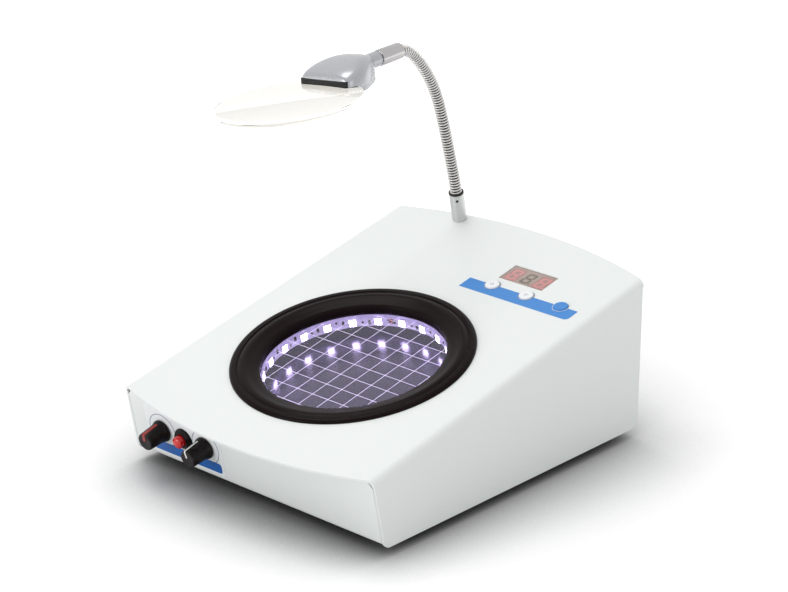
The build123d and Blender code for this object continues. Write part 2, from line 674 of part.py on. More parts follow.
def display_module():
    """Three-digit display block between the window and the board."""
    half_w = DISPLAY_WIDTH / 2
    half_h = DISPLAY_HEIGHT / 2
    block = slab(-half_w, half_w, -half_h, half_h, -BOARD_DEPTH, -WINDOW_THICKNESS)
    return TOP.location * Pos(DISPLAY_X, DISPLAY_S, 0) * block


def board_places():
    """Control board screws, in the top's frame."""
    xs = (BOARD_LEFT + BOARD_SCREW_INSET, BOARD_RIGHT - BOARD_SCREW_INSET)
    ys = (BOARD_FRONT + BOARD_SCREW_FRONT, BOARD_REAR - BOARD_SCREW_INSET)
    return [(x, y, 0) for x in xs for y in ys]


def control_board():
    """Counter board under the top plate."""
    low = -BOARD_DEPTH - BOARD_THICKNESS
    board = slab(BOARD_LEFT, BOARD_RIGHT, BOARD_FRONT, BOARD_REAR, low, -BOARD_DEPTH)
    for place in board_places():
        board -= Pos(*place) * drum(M3_RADIUS + SCREW_CLEARANCE, low - 1, 1)
    return TOP.location * board


def board_standoffs():
    """Threaded standoffs welded under the top plate."""
    piece = pipe(STANDOFF_RADIUS, M3_RADIUS + THREAD_CLEARANCE, -BOARD_DEPTH, -SHEET)
    return placed(TOP.location, board_places(), piece)


def counter_chip():
    """Counter chip under the control board."""
    top = -BOARD_DEPTH - BOARD_THICKNESS
    half = CHIP_SIZE / 2
    chip = slab(-half, half, -half, half, top - CHIP_THICKNESS, top)
    return TOP.location * Pos(BOARD_LEFT + CHIP_IN, BOARD_FRONT + CHIP_UP, 0) * chip


def buzzer():
    """Sounder under the control board that beeps at each count."""
    top = -BOARD_DEPTH - BOARD_THICKNESS
    low = top - BUZZER_HEIGHT
    piece = drum(BUZZER_RADIUS, low, top) - drum(BUZZER_HOLE_RADIUS, low - 1, low + BUZZER_HOLE_DEPTH)
    return TOP.location * Pos(BOARD_LEFT + BUZZER_IN, BOARD_FRONT + BUZZER_UP, 0) * piece


# ---------------------------------------------------------------- fasteners
def short_screws():
    """Eight alike screws: four close the cover from below, four hold the control board."""
    screw = pan_screw(SHORT_SCREW_LENGTH)
    below = [Pos(x, y, BASE_Z) * screw for x, y, _ in bracket_places()]
    under_board = TOP.location * Pos(0, 0, -BOARD_DEPTH - BOARD_THICKNESS)
    return below + placed(under_board, board_places(), screw)


def lock_nuts():
    """Eight alike nuts: four on the foot screws, four on the tray studs."""
    bore = M3_RADIUS + THREAD_CLEARANCE
    on_base = nut(NUT_FLATS, bore, BASE_TOP_Z, BASE_TOP_Z + NUT_HEIGHT)
    top = -FLANGE_TOP - TRAY_WALL
    on_tray = nut(NUT_FLATS, bore, top - NUT_HEIGHT, top)
    return [Pos(x, y, 0) * on_base for x, y in foot_places()] + placed(STAGE, stud_places(), on_tray)


# ---------------------------------------------------------------- front controls
def control_at(x):
    """Where a control sits: its axis square out of the front panel."""
    return FRONT.location * Pos(x, CONTROL_HEIGHT, 0)


def control_label():
    """Thin white label on the front panel, cut out round the controls."""
    left, right = BUTTON_X - LABEL_LEFT_REACH, BUTTON_X + LABEL_RIGHT_REACH
    label = slab(left, right, LABEL_BOTTOM, LABEL_TOP, 0, LABEL_THICKNESS)
    label = fillet(label.edges().filter_by(Axis.Z), LABEL_CORNER)
    for x in (LEFT_KNOB_X, RIGHT_KNOB_X):
        label -= Pos(x, CONTROL_HEIGHT, 0) * drum(WASHER_RADIUS + LABEL_GAP, -1, 1)
    label -= Pos(BUTTON_X, CONTROL_HEIGHT, 0) * drum(BEZEL_RADIUS + LABEL_GAP, -1, 1)
    return FRONT.location * label


def pot_body():
    """One dimmer control's can and threaded bushing, hollow for its wiper and shaft."""
    back = -SHEET - POT_BODY_DEPTH
    body = drum(POT_BODY_RADIUS, back, -SHEET)
    body += drum(POT_BUSHING_RADIUS, -SHEET, POT_BUSHING_LENGTH - SHEET)
    body -= drum(POT_BODY_RADIUS - POT_WALL, back + POT_WALL, -SHEET - POT_WALL)
    body -= drum(POT_SHAFT_RADIUS + RUNNING_FIT, back + POT_BORE_START, POT_BUSHING_LENGTH + 1)
    return body


def pot_bodies():
    """Both dimmer controls."""
    return [control_at(x) * pot_body() for x in (LEFT_KNOB_X, RIGHT_KNOB_X)]


def pot_washers():
    """Washers under the control nuts."""
    piece = pipe(WASHER_RADIUS, POT_BUSHING_RADIUS + RUNNING_FIT, 0, WASHER_THICKNESS)
    return [control_at(x) * piece for x in (LEFT_KNOB_X, RIGHT_KNOB_X)]


def pot_nuts():
    """Nuts that clamp the dimmer controls to the panel."""
    high = WASHER_THICKNESS + POT_NUT_HEIGHT
    piece = nut(POT_NUT_FLATS, POT_BUSHING_RADIUS + RUNNING_FIT, WASHER_THICKNESS, high)
    return [control_at(x) * piece for x in (LEFT_KNOB_X, RIGHT_KNOB_X)]


def pot_shaft(x):
    """A turning shaft with its wiper disc inside the can."""
    back = -SHEET - POT_BODY_DEPTH
    shaft = drum(POT_SHAFT_RADIUS, back + POT_BORE_START + POT_SHAFT_END_GAP, POT_SHAFT_REACH)
    shaft += drum(WIPER_RADIUS, back + WIPER_LOW, back + WIPER_LOW + WIPER_THICKNESS)
    return control_at(x) * shaft


def pointer_block(width):
    """The inlaid pointer: a bar down the knob's upper side and in to the middle of its end."""
    inner = KNOB_TIP_RADIUS - POINTER_DEPTH
    end = KNOB_GAP + KNOB_LENGTH
    low = KNOB_GAP + KNOB_SKIRT_LENGTH
    side = slab(-width / 2, width / 2, inner, KNOB_SKIRT_RADIUS, low, end)
    return side + slab(-width / 2, width / 2, POINTER_START, KNOB_SKIRT_RADIUS, end - POINTER_DEPTH, end)


def knob_form():
    """The knob's outer form: a flared skirt and a slightly tapered grip."""
    end = KNOB_GAP + KNOB_LENGTH
    waist = KNOB_GAP + KNOB_SKIRT_LENGTH
    return turned(
        (0, KNOB_GAP),
        (KNOB_SKIRT_RADIUS, KNOB_GAP),
        (KNOB_SKIRT_RADIUS, KNOB_GAP + 1.2),
        (KNOB_WAIST_RADIUS, waist),
        (KNOB_TIP_RADIUS, end - 0.6),
        (KNOB_TIP_RADIUS - 0.6, end),
        (0, end),
    )


def knob(x, width, turn):
    """A knob, bored for its shaft and recessed over the nut."""
    body = knob_form()
    body -= drum(KNOB_RECESS_RADIUS, 0, KNOB_GAP + KNOB_RECESS_DEPTH)
    body -= drum(POT_SHAFT_RADIUS + RUNNING_FIT, 0, POT_SHAFT_REACH + 0.2)
    body -= Rot(0, 0, turn) * pointer_block(width)
    return control_at(x) * body


def pointer(x, width, turn):
    """The coloured pointer inlay of a knob."""
    inlay = (Rot(0, 0, turn) * pointer_block(width)) & knob_form()
    return control_at(x) * inlay


def button_housing():
    """Push switch: bezel in front, threaded barrel through the panel, body behind."""
    back = -SHEET - BARREL_LENGTH
    body = turned(
        (0, 0),
        (BEZEL_RADIUS, 0),
        (BEZEL_RADIUS, BEZEL_HEIGHT * 0.4),
        (BEZEL_LIP_RADIUS, BEZEL_HEIGHT),
        (0, BEZEL_HEIGHT),
    )
    body += drum(BARREL_RADIUS, back, 0)
    body -= drum(BUTTON_RADIUS + RUNNING_FIT, back + BUTTON_FLOOR, BEZEL_HEIGHT + 1)
    body -= drum(BUTTON_STEM_RADIUS + RUNNING_FIT, back + BUTTON_BASE, 1)
    return control_at(BUTTON_X) * body


def red_button():
    """The button's domed cap and stem."""
    back = -SHEET - BARREL_LENGTH
    cap_low = back + BUTTON_FLOOR + BUTTON_SPRING_ROOM
    cap_high = BEZEL_HEIGHT + BUTTON_PROUD
    cap = drum(BUTTON_RADIUS, cap_low, cap_high)
    cap = fillet(cap.edges().group_by(Axis.Z)[-1], BUTTON_DOME)
    stem = drum(BUTTON_STEM_RADIUS, back + BUTTON_BASE + BUTTON_TRAVEL + BUTTON_END_GAP, cap_low)
    return control_at(BUTTON_X) * (cap + stem)


def button_nut():
    """Nut that clamps the push switch behind the panel."""
    piece = nut(BUTTON_NUT_FLATS, BARREL_RADIUS + RUNNING_FIT, -SHEET - BUTTON_NUT_HEIGHT, -SHEET)
    return control_at(BUTTON_X) * piece


# ---------------------------------------------------------------- rear sockets
def socket_at(x):
    """Where a rear socket sits."""
    return REAR.location * Pos(-x, SOCKET_HEIGHT, 0)


def power_socket():
    """Low-voltage inlet: flange, barrel and centre pin."""
    body = drum(POWER_FLANGE, 0, SOCKET_FLANGE_HEIGHT) + drum(POWER_BARREL, -SHEET - POWER_DEPTH, 0)
    body -= drum(POWER_BORE, -POWER_DEPTH + 1, SOCKET_FLANGE_HEIGHT + 1)
    body += drum(POWER_PIN, -POWER_DEPTH, -0.5)
    return socket_at(POWER_X) * body


def probe_socket():
    """Jack for the counting pen."""
    body = drum(PROBE_FLANGE, 0, SOCKET_FLANGE_HEIGHT) + drum(PROBE_BARREL, -SHEET - PROBE_DEPTH, 0)
    body -= drum(PROBE_BORE, -PROBE_DEPTH + 1, SOCKET_FLANGE_HEIGHT + 1)
    return socket_at(PROBE_X) * body


def socket_nuts():
    """Nuts inside the rear panel."""
    low = -SHEET - SOCKET_NUT_HEIGHT
    power = nut(POWER_NUT_FLATS, POWER_BARREL + RUNNING_FIT, low, -SHEET)
    probe = nut(PROBE_NUT_FLATS, PROBE_BARREL + RUNNING_FIT, low, -SHEET)
    return [socket_at(POWER_X) * power, socket_at(PROBE_X) * probe]


# ---------------------------------------------------------------- flexible neck
COLLAR = TOP.location * Pos(NECK_X, NECK_S, 0)
NECK_START = COLLAR_HEIGHT + COLLAR_RING_HEIGHT + 2 * CUP_LIP


def gooseneck_collar():
    """Collar on the top plate, with a stud through it and a cross hole for the set screw."""
    body = drum(COLLAR_RADIUS, 0, COLLAR_HEIGHT)
    body = chamfer(body.edges().group_by(Axis.Z)[-1], 0.5)
    body -= drum(NECK_RADIUS + NECK_FIT, COLLAR_HEIGHT - COLLAR_BORE_DEPTH, COLLAR_HEIGHT + 1)
    body += drum(COLLAR_STUD_RADIUS, -COLLAR_STUD_LENGTH, 0)
    return COLLAR * (body - set_screw_form(SET_SCREW_RADIUS + RUNNING_FIT, COLLAR_RADIUS + 1))


def set_screw_form(radius, reach):
    """A radial pin near the collar's top."""
    pin = drum(radius, NECK_RADIUS + NECK_FIT, reach)
    turn = Rot(0, 0, SET_SCREW_ANGLE) * Rot(0, 90, 0)
    return Pos(0, 0, COLLAR_HEIGHT - SET_SCREW_BELOW_TOP) * turn * pin


def collar_set_screw():
    """Set screw that clamps the neck in its collar."""
    return COLLAR * set_screw_form(SET_SCREW_RADIUS, COLLAR_RADIUS - 0.3)


def collar_ring():
    """Dark rubber ring on top of the collar."""
    high = COLLAR_HEIGHT + COLLAR_RING_HEIGHT
    return COLLAR * pipe(COLLAR_RADIUS, NECK_RADIUS + NECK_FIT, COLLAR_HEIGHT, high)


def collar_nut():
    """Washer and nut on the collar's stud, under the top plate."""
    under = -SHEET - WASHER_THICKNESS
    bore = COLLAR_STUD_RADIUS + THREAD_CLEARANCE
    washer = pipe(COLLAR_RADIUS, bore, under, -SHEET)
    return [COLLAR * washer, COLLAR * nut(COLLAR_NUT_FLATS, bore, under - COLLAR_NUT_HEIGHT, under)]


def neck_root():
    """The neck's end inside the collar, with a cup for the first link."""
    low = COLLAR_HEIGHT - COLLAR_BORE_DEPTH + 0.2
    body = pipe(NECK_RADIUS, NECK_BORE, low, NECK_START - CUP_LIP)
    return COLLAR * (body - Pos(0, 0, NECK_START) * Sphere(BALL_RADIUS + BALL_FIT))


def neck_joints():
    """Each joint along the neck as (y, z, lean): the neck leans forward from upright by lean."""
    start = COLLAR * Pos(0, 0, NECK_START)
    y, z, lean = start.position.Y, start.position.Z, TOP_SLOPE
    joints = [(y, z, lean)]
    for turn in LINK_TURNS:
        radius = LINK_LENGTH / radians(turn)
        after = lean + turn
        y -= radius * (cos(radians(lean)) - cos(radians(after)))
        z += radius * (sin(radians(after)) - sin(radians(lean)))
        lean = after
        joints.append((y, z, lean))
    return joints


def along(y, z, lean):
    """A frame on the neck's path: z along the neck, x across the object."""
    return Plane(
        origin=(NECK_X, y, z), x_dir=(1, 0, 0), z_dir=(0, -sin(radians(lean)), cos(radians(lean)))
    )


def link_foot():
    """A link's lower end on the z axis: a bored ball at the joint and a taper up to the tube."""
    cone = Cone(LINK_FACE_RADIUS, NECK_RADIUS, LINK_TAPER, align=(Align.CENTER, Align.CENTER, Align.MIN))
    foot = Sphere(BALL_RADIUS) + drum(LINK_FACE_RADIUS, 0, LINK_START)
    foot += Pos(0, 0, LINK_START) * cone
    return foot - drum(NECK_BORE, -BALL_RADIUS - 1, LINK_START + LINK_TAPER + 1)


def straight_link(index):
    """One of the gently curved neck's links: a tube along the chord, with a cup in its upper end."""
    y, z, lean = neck_joints()[index]
    turn = LINK_TURNS[index]
    length = 2 * LINK_LENGTH / radians(turn) * sin(radians(turn / 2))
    body = link_foot() + pipe(NECK_RADIUS, NECK_BORE, LINK_START + LINK_TAPER, length - CUP_LIP)
    body -= Pos(0, 0, length) * Sphere(BALL_RADIUS + BALL_FIT)
    return along(y, z, lean + turn / 2).location * body


def bent_link(index):
    """The neck's last link: it bends over to the magnifier in one tight arc."""
    y, z, lean = neck_joints()[index]
    turn = LINK_TURNS[index]
    radius = LINK_LENGTH / radians(turn)
    begin = degrees((LINK_START + LINK_TAPER) / radius)
    centre = along(y, z, lean).location * Pos(0, -radius, 0) * Rot(begin, 0, 0)
    ring = Pos(0, radius, 0) * (Circle(NECK_RADIUS) - Circle(NECK_BORE))
    tube = centre * revolve(ring, Axis.X, turn - begin)
    return tube + centre * Pos(0, radius, -LINK_START - LINK_TAPER) * link_foot()


def neck_end():
    """The frame at the end of the neck, where the ferrule starts."""
    return along(*neck_joints()[-1]).location


def end_ferrule():
    """Chrome ferrule pressed over the last link, bored for the magnifier's pin."""
    body = drum(FERRULE_RADIUS, -FERRULE_CUP, FERRULE_LENGTH)
    rims = body.edges().group_by(Axis.Z)
    body = fillet(rims[0] + rims[-1], 0.8)
    body -= drum(NECK_RADIUS + NECK_FIT, -FERRULE_CUP - 1, 0)
    body -= drum(PIN_RADIUS + RUNNING_FIT, FERRULE_LENGTH - PIN_LENGTH - 0.6, FERRULE_LENGTH + 1)
    return neck_end() * body


# ---------------------------------------------------------------- magnifier
# The head's frame: origin on the swivel axis at the ferrule's end, x to the right, y back along
# the ferrule, z out of the lens's upper face.
def head_frame():
    """The magnifier's frame, rolled about the swivel axis."""
    return neck_end() * Pos(0, 0, FERRULE_LENGTH) * Rot(-90, 0, 0) * Rot(0, -HEAD_ROLL, 0)


LENS_TOP = -AXIS_ABOVE_LENS
LENS_BOTTOM = LENS_TOP - LENS_EDGE
SPLIT = (LENS_TOP + LENS_BOTTOM) / 2


def lens_form(grow):
    """A double convex disc, larger all round by grow."""
    radius = LENS_RADIUS + grow
    high, low = LENS_TOP + grow, LENS_BOTTOM - grow
    sphere = (radius**2 + LENS_CROWN**2) / (2 * LENS_CROWN)
    half_rise = sqrt(sphere**2 - (radius / 2) ** 2) - (sphere - LENS_CROWN)
    rim = Line((radius, 0, low), (radius, 0, high))
    upper = ThreePointArc((radius, 0, high), (radius / 2, 0, high + half_rise), (0, 0, high + LENS_CROWN))
    axis = Line((0, 0, high + LENS_CROWN), (0, 0, low - LENS_CROWN))
    lower = ThreePointArc((0, 0, low - LENS_CROWN), (radius / 2, 0, low - half_rise), (radius, 0, low))
    body = revolve(make_face([rim, upper, axis, lower]), Axis.Z)
    return Pos(0, -LENS_CENTRE, 0) * body


def head_outline(shrink, front, rear):
    """The head seen from above: a wide front, straight shoulders and a taper to the stem."""
    wide = HEAD_HALF_WIDTH - shrink
    narrow = HEAD_NECK_HALF - shrink / 3
    points = [
        (-wide, -front),
        (wide, -front),
        (wide, -HEAD_SHOULDER),
        (narrow, -rear),
        (-narrow, -rear),
        (-wide, -HEAD_SHOULDER),
    ]
    return make_face(Polyline(*points, close=True))


def head_upper_shell():
    """Upper half of the head: upright band, then chamfered faces up to a small flat top."""
    band_top = LENS_TOP + HEAD_BAND
    base = head_outline(0, HEAD_FRONT, HEAD_REAR)
    body = Pos(0, 0, SPLIT) * extrude(base, band_top - SPLIT)
    top = head_outline(8.0, HEAD_FRONT - 9.0, HEAD_REAR + 2.0)
    body += loft([Pos(0, 0, band_top) * base, Pos(0, 0, HEAD_TOP) * top])
    body -= lens_form(LENS_CLEARANCE)
    body -= liner_form()
    body -= stem_form(STEM_RADIUS + RUNNING_FIT, 0, HEAD_REAR + STEM_IN_HEAD)
    for x in (-CLAMP_SCREW_X, CLAMP_SCREW_X):
        pilot = drum(M3_RADIUS + THREAD_CLEARANCE, SPLIT - 1, SPLIT + CLAMP_SCREW_LENGTH - 2)
        body -= Pos(x, -CLAMP_SCREW_Y, 0) * pilot
    return head_frame() * body


def head_lower_shell():
    """Lower half of the head, under the lens."""
    base = head_outline(HEAD_DRAFT, HEAD_FRONT - 6.0, HEAD_REAR)
    top = head_outline(0.6, HEAD_FRONT - 2.0, HEAD_REAR)
    body = loft([Pos(0, 0, -HEAD_BOTTOM) * base, Pos(0, 0, SPLIT) * top])
    body -= lens_form(LENS_CLEARANCE)
    for x in (-CLAMP_SCREW_X, CLAMP_SCREW_X):
        hole = drum(M3_RADIUS + SCREW_CLEARANCE, -HEAD_BOTTOM - 1, SPLIT + 1)
        sink = drum(HEAD_RADIUS + SCREW_CLEARANCE, -HEAD_BOTTOM - 1, -HEAD_BOTTOM + HEAD_HEIGHT)
        body -= Pos(x, -CLAMP_SCREW_Y, 0) * (hole + sink)
    body -= stem_form(STEM_RADIUS + RUNNING_FIT, 0, HEAD_REAR + STEM_IN_HEAD)
    return head_frame() * body


def liner_form():
    """A black strip in the head's front face, just above the lens."""
    low = LENS_TOP + LINER_ABOVE_LENS
    front = -HEAD_FRONT - LINER_PROUD
    return slab(-LINER_HALF_WIDTH, LINER_HALF_WIDTH, front, front + LINER_DEPTH, low, low + LINER_HEIGHT)


def slot_liner():
    """The strip that closes the lens slot's mouth."""
    return head_frame() * (liner_form() - lens_form(LENS_CLEARANCE))


def stem_form(radius, front, rear):
    """A round bar on the swivel axis, from front to rear in front of the ferrule."""
    bar = Cylinder(radius, rear - front, align=(Align.CENTER, Align.CENTER, Align.MIN))
    return Pos(0, -front, 0) * Rot(90, 0, 0) * bar


def swivel_stem():
    """The magnifier's stem, with a pin that turns in the ferrule."""
    body = stem_form(STEM_RADIUS, SWIVEL_GAP, HEAD_REAR + STEM_IN_HEAD)
    pin = stem_form(PIN_RADIUS, -PIN_LENGTH, SWIVEL_GAP + 1)
    return head_frame() * (body + pin)


def magnifier_lens():
    """Clear rimless lens."""
    return head_frame() * lens_form(0)


def clamp_screws():
    """Two screws from below that close the shells on the lens."""
    low = -HEAD_BOTTOM + HEAD_HEIGHT
    length = SPLIT - low + CLAMP_SCREW_LENGTH - 3
    screw = Pos(0, 0, low) * pan_screw(length)
    return [head_frame() * Pos(x, -CLAMP_SCREW_Y, 0) * screw for x in (-CLAMP_SCREW_X, CLAMP_SCREW_X)]


# ---------------------------------------------------------------- nodes
def build():
    """Writes every node."""
    os.makedirs("parts", exist_ok=True)
    write("top_cover", top_cover())
    write("chassis", chassis())
    write("cover_brackets", *cover_brackets())
    write("rubber_feet", *rubber_feet())
    write("foot_screws", *foot_screws())
    write("short_screws", *short_screws())
    write("lock_nuts", *lock_nuts())
    write("stage_ring", stage_ring())
    write("grid_glass", grid_glass())
    write("glass_gasket", glass_gasket())
    write("lamp_tray", lamp_tray())
    write("tray_studs", *tray_studs())
    write("lamp_tape", lamp_tape())
    write("lamps", *lamps())
    write("key_strip", key_strip())
    for name, x in zip(("left_key", "middle_key", "right_key"), KEY_XS):
        write(name, key(x))
    write("key_switches", *key_switches())
    write("display_window", display_window())
    write("display_module", display_module())
    write("control_board", control_board())
    write("board_standoffs", *board_standoffs())
    write("counter_chip", counter_chip())
    write("buzzer", buzzer())
    write("control_label", control_label())
    write("pot_bodies", *pot_bodies())
    write("pot_washers", *pot_washers())
    write("pot_nuts", *pot_nuts())
    write("left_pot_shaft", pot_shaft(LEFT_KNOB_X))
    write("right_pot_shaft", pot_shaft(RIGHT_KNOB_X))
    write("left_knob", knob(LEFT_KNOB_X, POINTER_WIDTH_LEFT, 0))
    write("left_pointer", pointer(LEFT_KNOB_X, POINTER_WIDTH_LEFT, 0))
    write("right_knob", knob(RIGHT_KNOB_X, POINTER_WIDTH_RIGHT, POINTER_TURN_RIGHT))
    write("right_pointer", pointer(RIGHT_KNOB_X, POINTER_WIDTH_RIGHT, POINTER_TURN_RIGHT))
    write("button_housing", button_housing())
    write("button_nut", button_nut())
    write("red_button", red_button())
    write("power_socket", power_socket())
    write("probe_socket", probe_socket())
    write("socket_nuts", *socket_nuts())
    write("gooseneck_collar", gooseneck_collar(), *collar_nut())
    write("collar_set_screw", collar_set_screw())
    write("collar_ring", collar_ring())
    write("neck_root", neck_root())
    last = len(LINK_TURNS) - 1
    for index in range(last):
        write(f"neck_link_{index + 1}", straight_link(index))
    write(f"neck_link_{last + 1}", bent_link(last))
    write("end_ferrule", end_ferrule())
    write("swivel_stem", swivel_stem())
    write("head_upper_shell", head_upper_shell())
    write("head_lower_shell", head_lower_shell())
    write("slot_liner", slot_liner())
    write("clamp_screws", *clamp_screws())
    write("magnifier_lens", magnifier_lens())


build()
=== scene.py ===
"""Dresses the bench colony counter: a white sheet-steel case, a lit stage and a magnifier on a neck.

Every object is in metres in the part's own frame: +X to the operator's right, +Y to the back, +Z up.
Sizes in the classes below are in millimetres and are turned to metres where a mesh is made.
"""
from __future__ import annotations

import json
import logging
import math
import random
from dataclasses import dataclass, field
from enum import Enum
from typing import Iterable, Optional, Sequence

import bmesh
import bpy
from mathutils import Matrix, Vector

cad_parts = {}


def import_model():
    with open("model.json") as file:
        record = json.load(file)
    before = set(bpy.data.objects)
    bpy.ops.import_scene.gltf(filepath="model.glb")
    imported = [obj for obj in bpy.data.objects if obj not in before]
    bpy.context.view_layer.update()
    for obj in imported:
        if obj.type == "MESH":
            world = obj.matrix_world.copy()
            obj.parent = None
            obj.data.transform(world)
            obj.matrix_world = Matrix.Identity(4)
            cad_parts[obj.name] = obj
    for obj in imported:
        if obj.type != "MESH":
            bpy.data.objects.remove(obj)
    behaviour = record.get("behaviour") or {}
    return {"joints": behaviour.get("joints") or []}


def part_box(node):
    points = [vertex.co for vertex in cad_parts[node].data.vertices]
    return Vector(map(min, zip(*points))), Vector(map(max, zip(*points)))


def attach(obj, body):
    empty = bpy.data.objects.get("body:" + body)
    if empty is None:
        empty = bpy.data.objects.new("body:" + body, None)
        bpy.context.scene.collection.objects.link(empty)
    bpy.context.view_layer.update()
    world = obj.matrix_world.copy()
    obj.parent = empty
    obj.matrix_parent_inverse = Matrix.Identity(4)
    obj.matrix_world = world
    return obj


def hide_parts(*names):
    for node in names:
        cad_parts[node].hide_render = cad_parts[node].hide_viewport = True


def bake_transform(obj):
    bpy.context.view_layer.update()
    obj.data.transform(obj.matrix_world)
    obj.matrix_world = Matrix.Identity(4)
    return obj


LOG = logging.getLogger("colony_counter")
MM = 0.001
WHITE = (1.0, 1.0, 1.0, 1.0)
Point = tuple[float, float]


# ---------------------------------------------------------------- colours and materials
def linear(code: str) -> tuple[float, float, float, float]:
    """Turns an sRGB hex colour to linear values.

    Args:
        code: The colour as "#RRGGBB".

    Returns:
        Linear red, green, blue and an alpha of 1.
    """
    parts = [int(code[i : i + 2], 16) / 255 for i in (1, 3, 5)]
    red, green, blue = (c / 12.92 if c <= 0.04045 else ((c + 0.055) / 1.055) ** 2.4 for c in parts)
    return (red, green, blue, 1.0)


def add_node(
    tree: bpy.types.NodeTree,
    kind: str,
    settings: Optional[dict[str, object]] = None,
    inputs: Optional[dict[object, object]] = None,
) -> bpy.types.Node:
    """Adds one node with its settings, values and links.

    Args:
        tree: The node tree.
        kind: The node's type name.
        settings: Attributes to set on the node.
        inputs: Socket name or index, with a value or a socket to link from.

    Returns:
        The new node.
    """
    node = tree.nodes.new(kind)
    for name, value in (settings or {}).items():
        setattr(node, name, value)
    for socket, value in (inputs or {}).items():
        if isinstance(value, bpy.types.NodeSocket):
            tree.links.new(value, node.inputs[socket])
        else:
            node.inputs[socket].default_value = value
    return node


def calc(tree: bpy.types.NodeTree, operation: str, *values: object) -> bpy.types.NodeSocket:
    """Adds a Math node with its values or links and returns its result."""
    return add_node(tree, "ShaderNodeMath", {"operation": operation}, dict(enumerate(values))).outputs[0]


def fresh_tree(holder: bpy.types.ID) -> bpy.types.NodeTree:
    """Turns on the nodes of a material or world and empties its tree."""
    holder.use_nodes = True
    holder.node_tree.nodes.clear()
    return holder.node_tree


class Body(Enum):
    """How a finish is built."""

    SOLID = "solid"
    LENS = "lens"
    PANE = "pane"
    GLOW = "glow"


@dataclass(frozen=True)
class Finish:
    """One finish: what the real surface is made of, with its grain in millimetres.

    Mottle is a slow change of tone, such as a coat's thickness or handling marks. Grain is the fine
    relief that the process leaves. Stretch draws both out along an axis, as brushing does.
    """

    name: str
    colour: str
    roughness: float
    metallic: float = 0.0
    ior: float = 1.5
    coat: float = 0.0
    mottle_mm: float = 25.0
    mottle: float = 0.03
    grain_mm: float = 0.5
    grain: float = 0.05
    polish: float = 0.04
    stretch: tuple[float, float, float] = (1.0, 1.0, 1.0)
    body: Body = Body.SOLID
    glow: float = 0.0
    specular: float = 0.5


# Polyester powder coat on steel: satin white with a fine orange-peel skin.
POWDER_COAT = Finish("powder_coat", "#E5E9E8", 0.42, mottle_mm=60, mottle=0.008, grain_mm=1.6, grain=0.035)
# Injection-moulded black ABS, polished tool: nearly black with a brown cast and a soft gloss.
RING_ABS = Finish("ring_abs", "#150C0D", 0.22, mottle_mm=18, mottle=0.06, grain_mm=3.0, grain=0.02,
                  specular=0.05)
# Black enamelled steel well: it mirrors the lamps, and its colour is tinted violet as painted light of their
# violet cast.
WELL_VIOLET_CAST = Finish("well_enamel_painted_violet_light", "#1F1439", 0.2, ior=1.6, mottle_mm=9, mottle=0.25, grain_mm=3, grain=0.03)
# Fine-grained black phenolic of the control knobs.
KNOB_PHENOLIC = Finish("knob_phenolic", "#130D0D", 0.34, specular=0.2, mottle_mm=3, mottle=0.1, grain_mm=0.3)
# Neoprene and soft black rubber: matt, a little dusty.
RUBBER = Finish("rubber", "#121212", 0.7, mottle_mm=5, mottle=0.15, grain_mm=0.4, grain=0.15)
# Bright zinc plate on steel fasteners.
ZINC = Finish("zinc_plate", "#B9BBBD", 0.32, metallic=1.0, mottle_mm=2, mottle=0.08, grain_mm=0.3, grain=0.08)
# Nickel-chrome plate, mirror bright.
CHROME = Finish("chrome_plate", "#B4B2B2", 0.07, metallic=1.0, mottle_mm=8, mottle=0.03, grain=0.01)
# Turned aluminium, satin anodised: faint turning marks round the axis.
ANODISED = Finish("anodised_aluminium", "#C9CAC9", 0.34, metallic=1.0, mottle_mm=1.2, mottle=0.06,
                  grain_mm=0.35, grain=0.06, stretch=(1.0, 1.0, 6.0))
# Bright stainless wire of the wound neck.
NECK_STEEL = Finish("stainless_wire", "#DAD8D5", 0.28, metallic=0.55, mottle_mm=2, mottle=0.1, grain_mm=0.3)
# Painted shade: a near-black colour on the gaps between the neck's windings and on the tube's inside.
NECK_GAP_SHADE = Finish("winding_gap_painted_shade", "#120E0C", 0.7, specular=0.05, mottle_mm=1, mottle=0.2, grain_mm=0.3)
# Silver lacquer on moulded ABS: metallic flake under a thin clear coat.
SILVER_LACQUER = Finish("silver_lacquer", "#A9AAAF", 0.27, metallic=0.5, coat=0.3, mottle_mm=6,
                        mottle=0.02, grain_mm=0.3, grain=0.01, polish=0.02)
# The same lacquer, polished, on the small oval inlay, coloured much lighter than the lacquer as a painted
# highlight.
SILVER_HIGHLIGHT = Finish("silver_painted_highlight", "#D9DADD", 0.18, metallic=0.7, coat=0.5, mottle_mm=1, mottle=0.03)
# White flexible circuit of the lamp tape, tinted lilac and glowing faintly: painted light from the lamps.
TAPE_WHITE_GLOW = Finish("tape_mask_painted_glow", "#D3CAE4", 0.45, mottle_mm=3, mottle=0.3, grain_mm=0.5,
                    body=Body.GLOW, glow=0.3)
# Screen-printed polyester films.
FILM_WHITE = Finish("film_white", "#EDF0F1", 0.32, mottle_mm=20, mottle=0.01, grain_mm=0.6, grain=0.02)
STRIP_BLUE = Finish("film_blue", "#2F82CE", 0.34, mottle_mm=8, mottle=0.03, grain_mm=0.6, grain=0.02)
LABEL_BLUE = Finish("film_deep_blue", "#0A5EB0", 0.34, mottle_mm=5, mottle=0.05, grain_mm=0.6, grain=0.02)
PRINT_BLUE = Finish("print_blue", "#2C4F86", 0.45, mottle_mm=2, mottle=0.1)
PRINT_GREY = Finish("print_grey", "#9BA3B0", 0.45, mottle_mm=2, mottle=0.05)
# Moulded key tops.
KEY_WHITE = Finish("key_white", "#ECEEF0", 0.35, mottle_mm=4, mottle=0.01, grain_mm=0.4, grain=0.02)
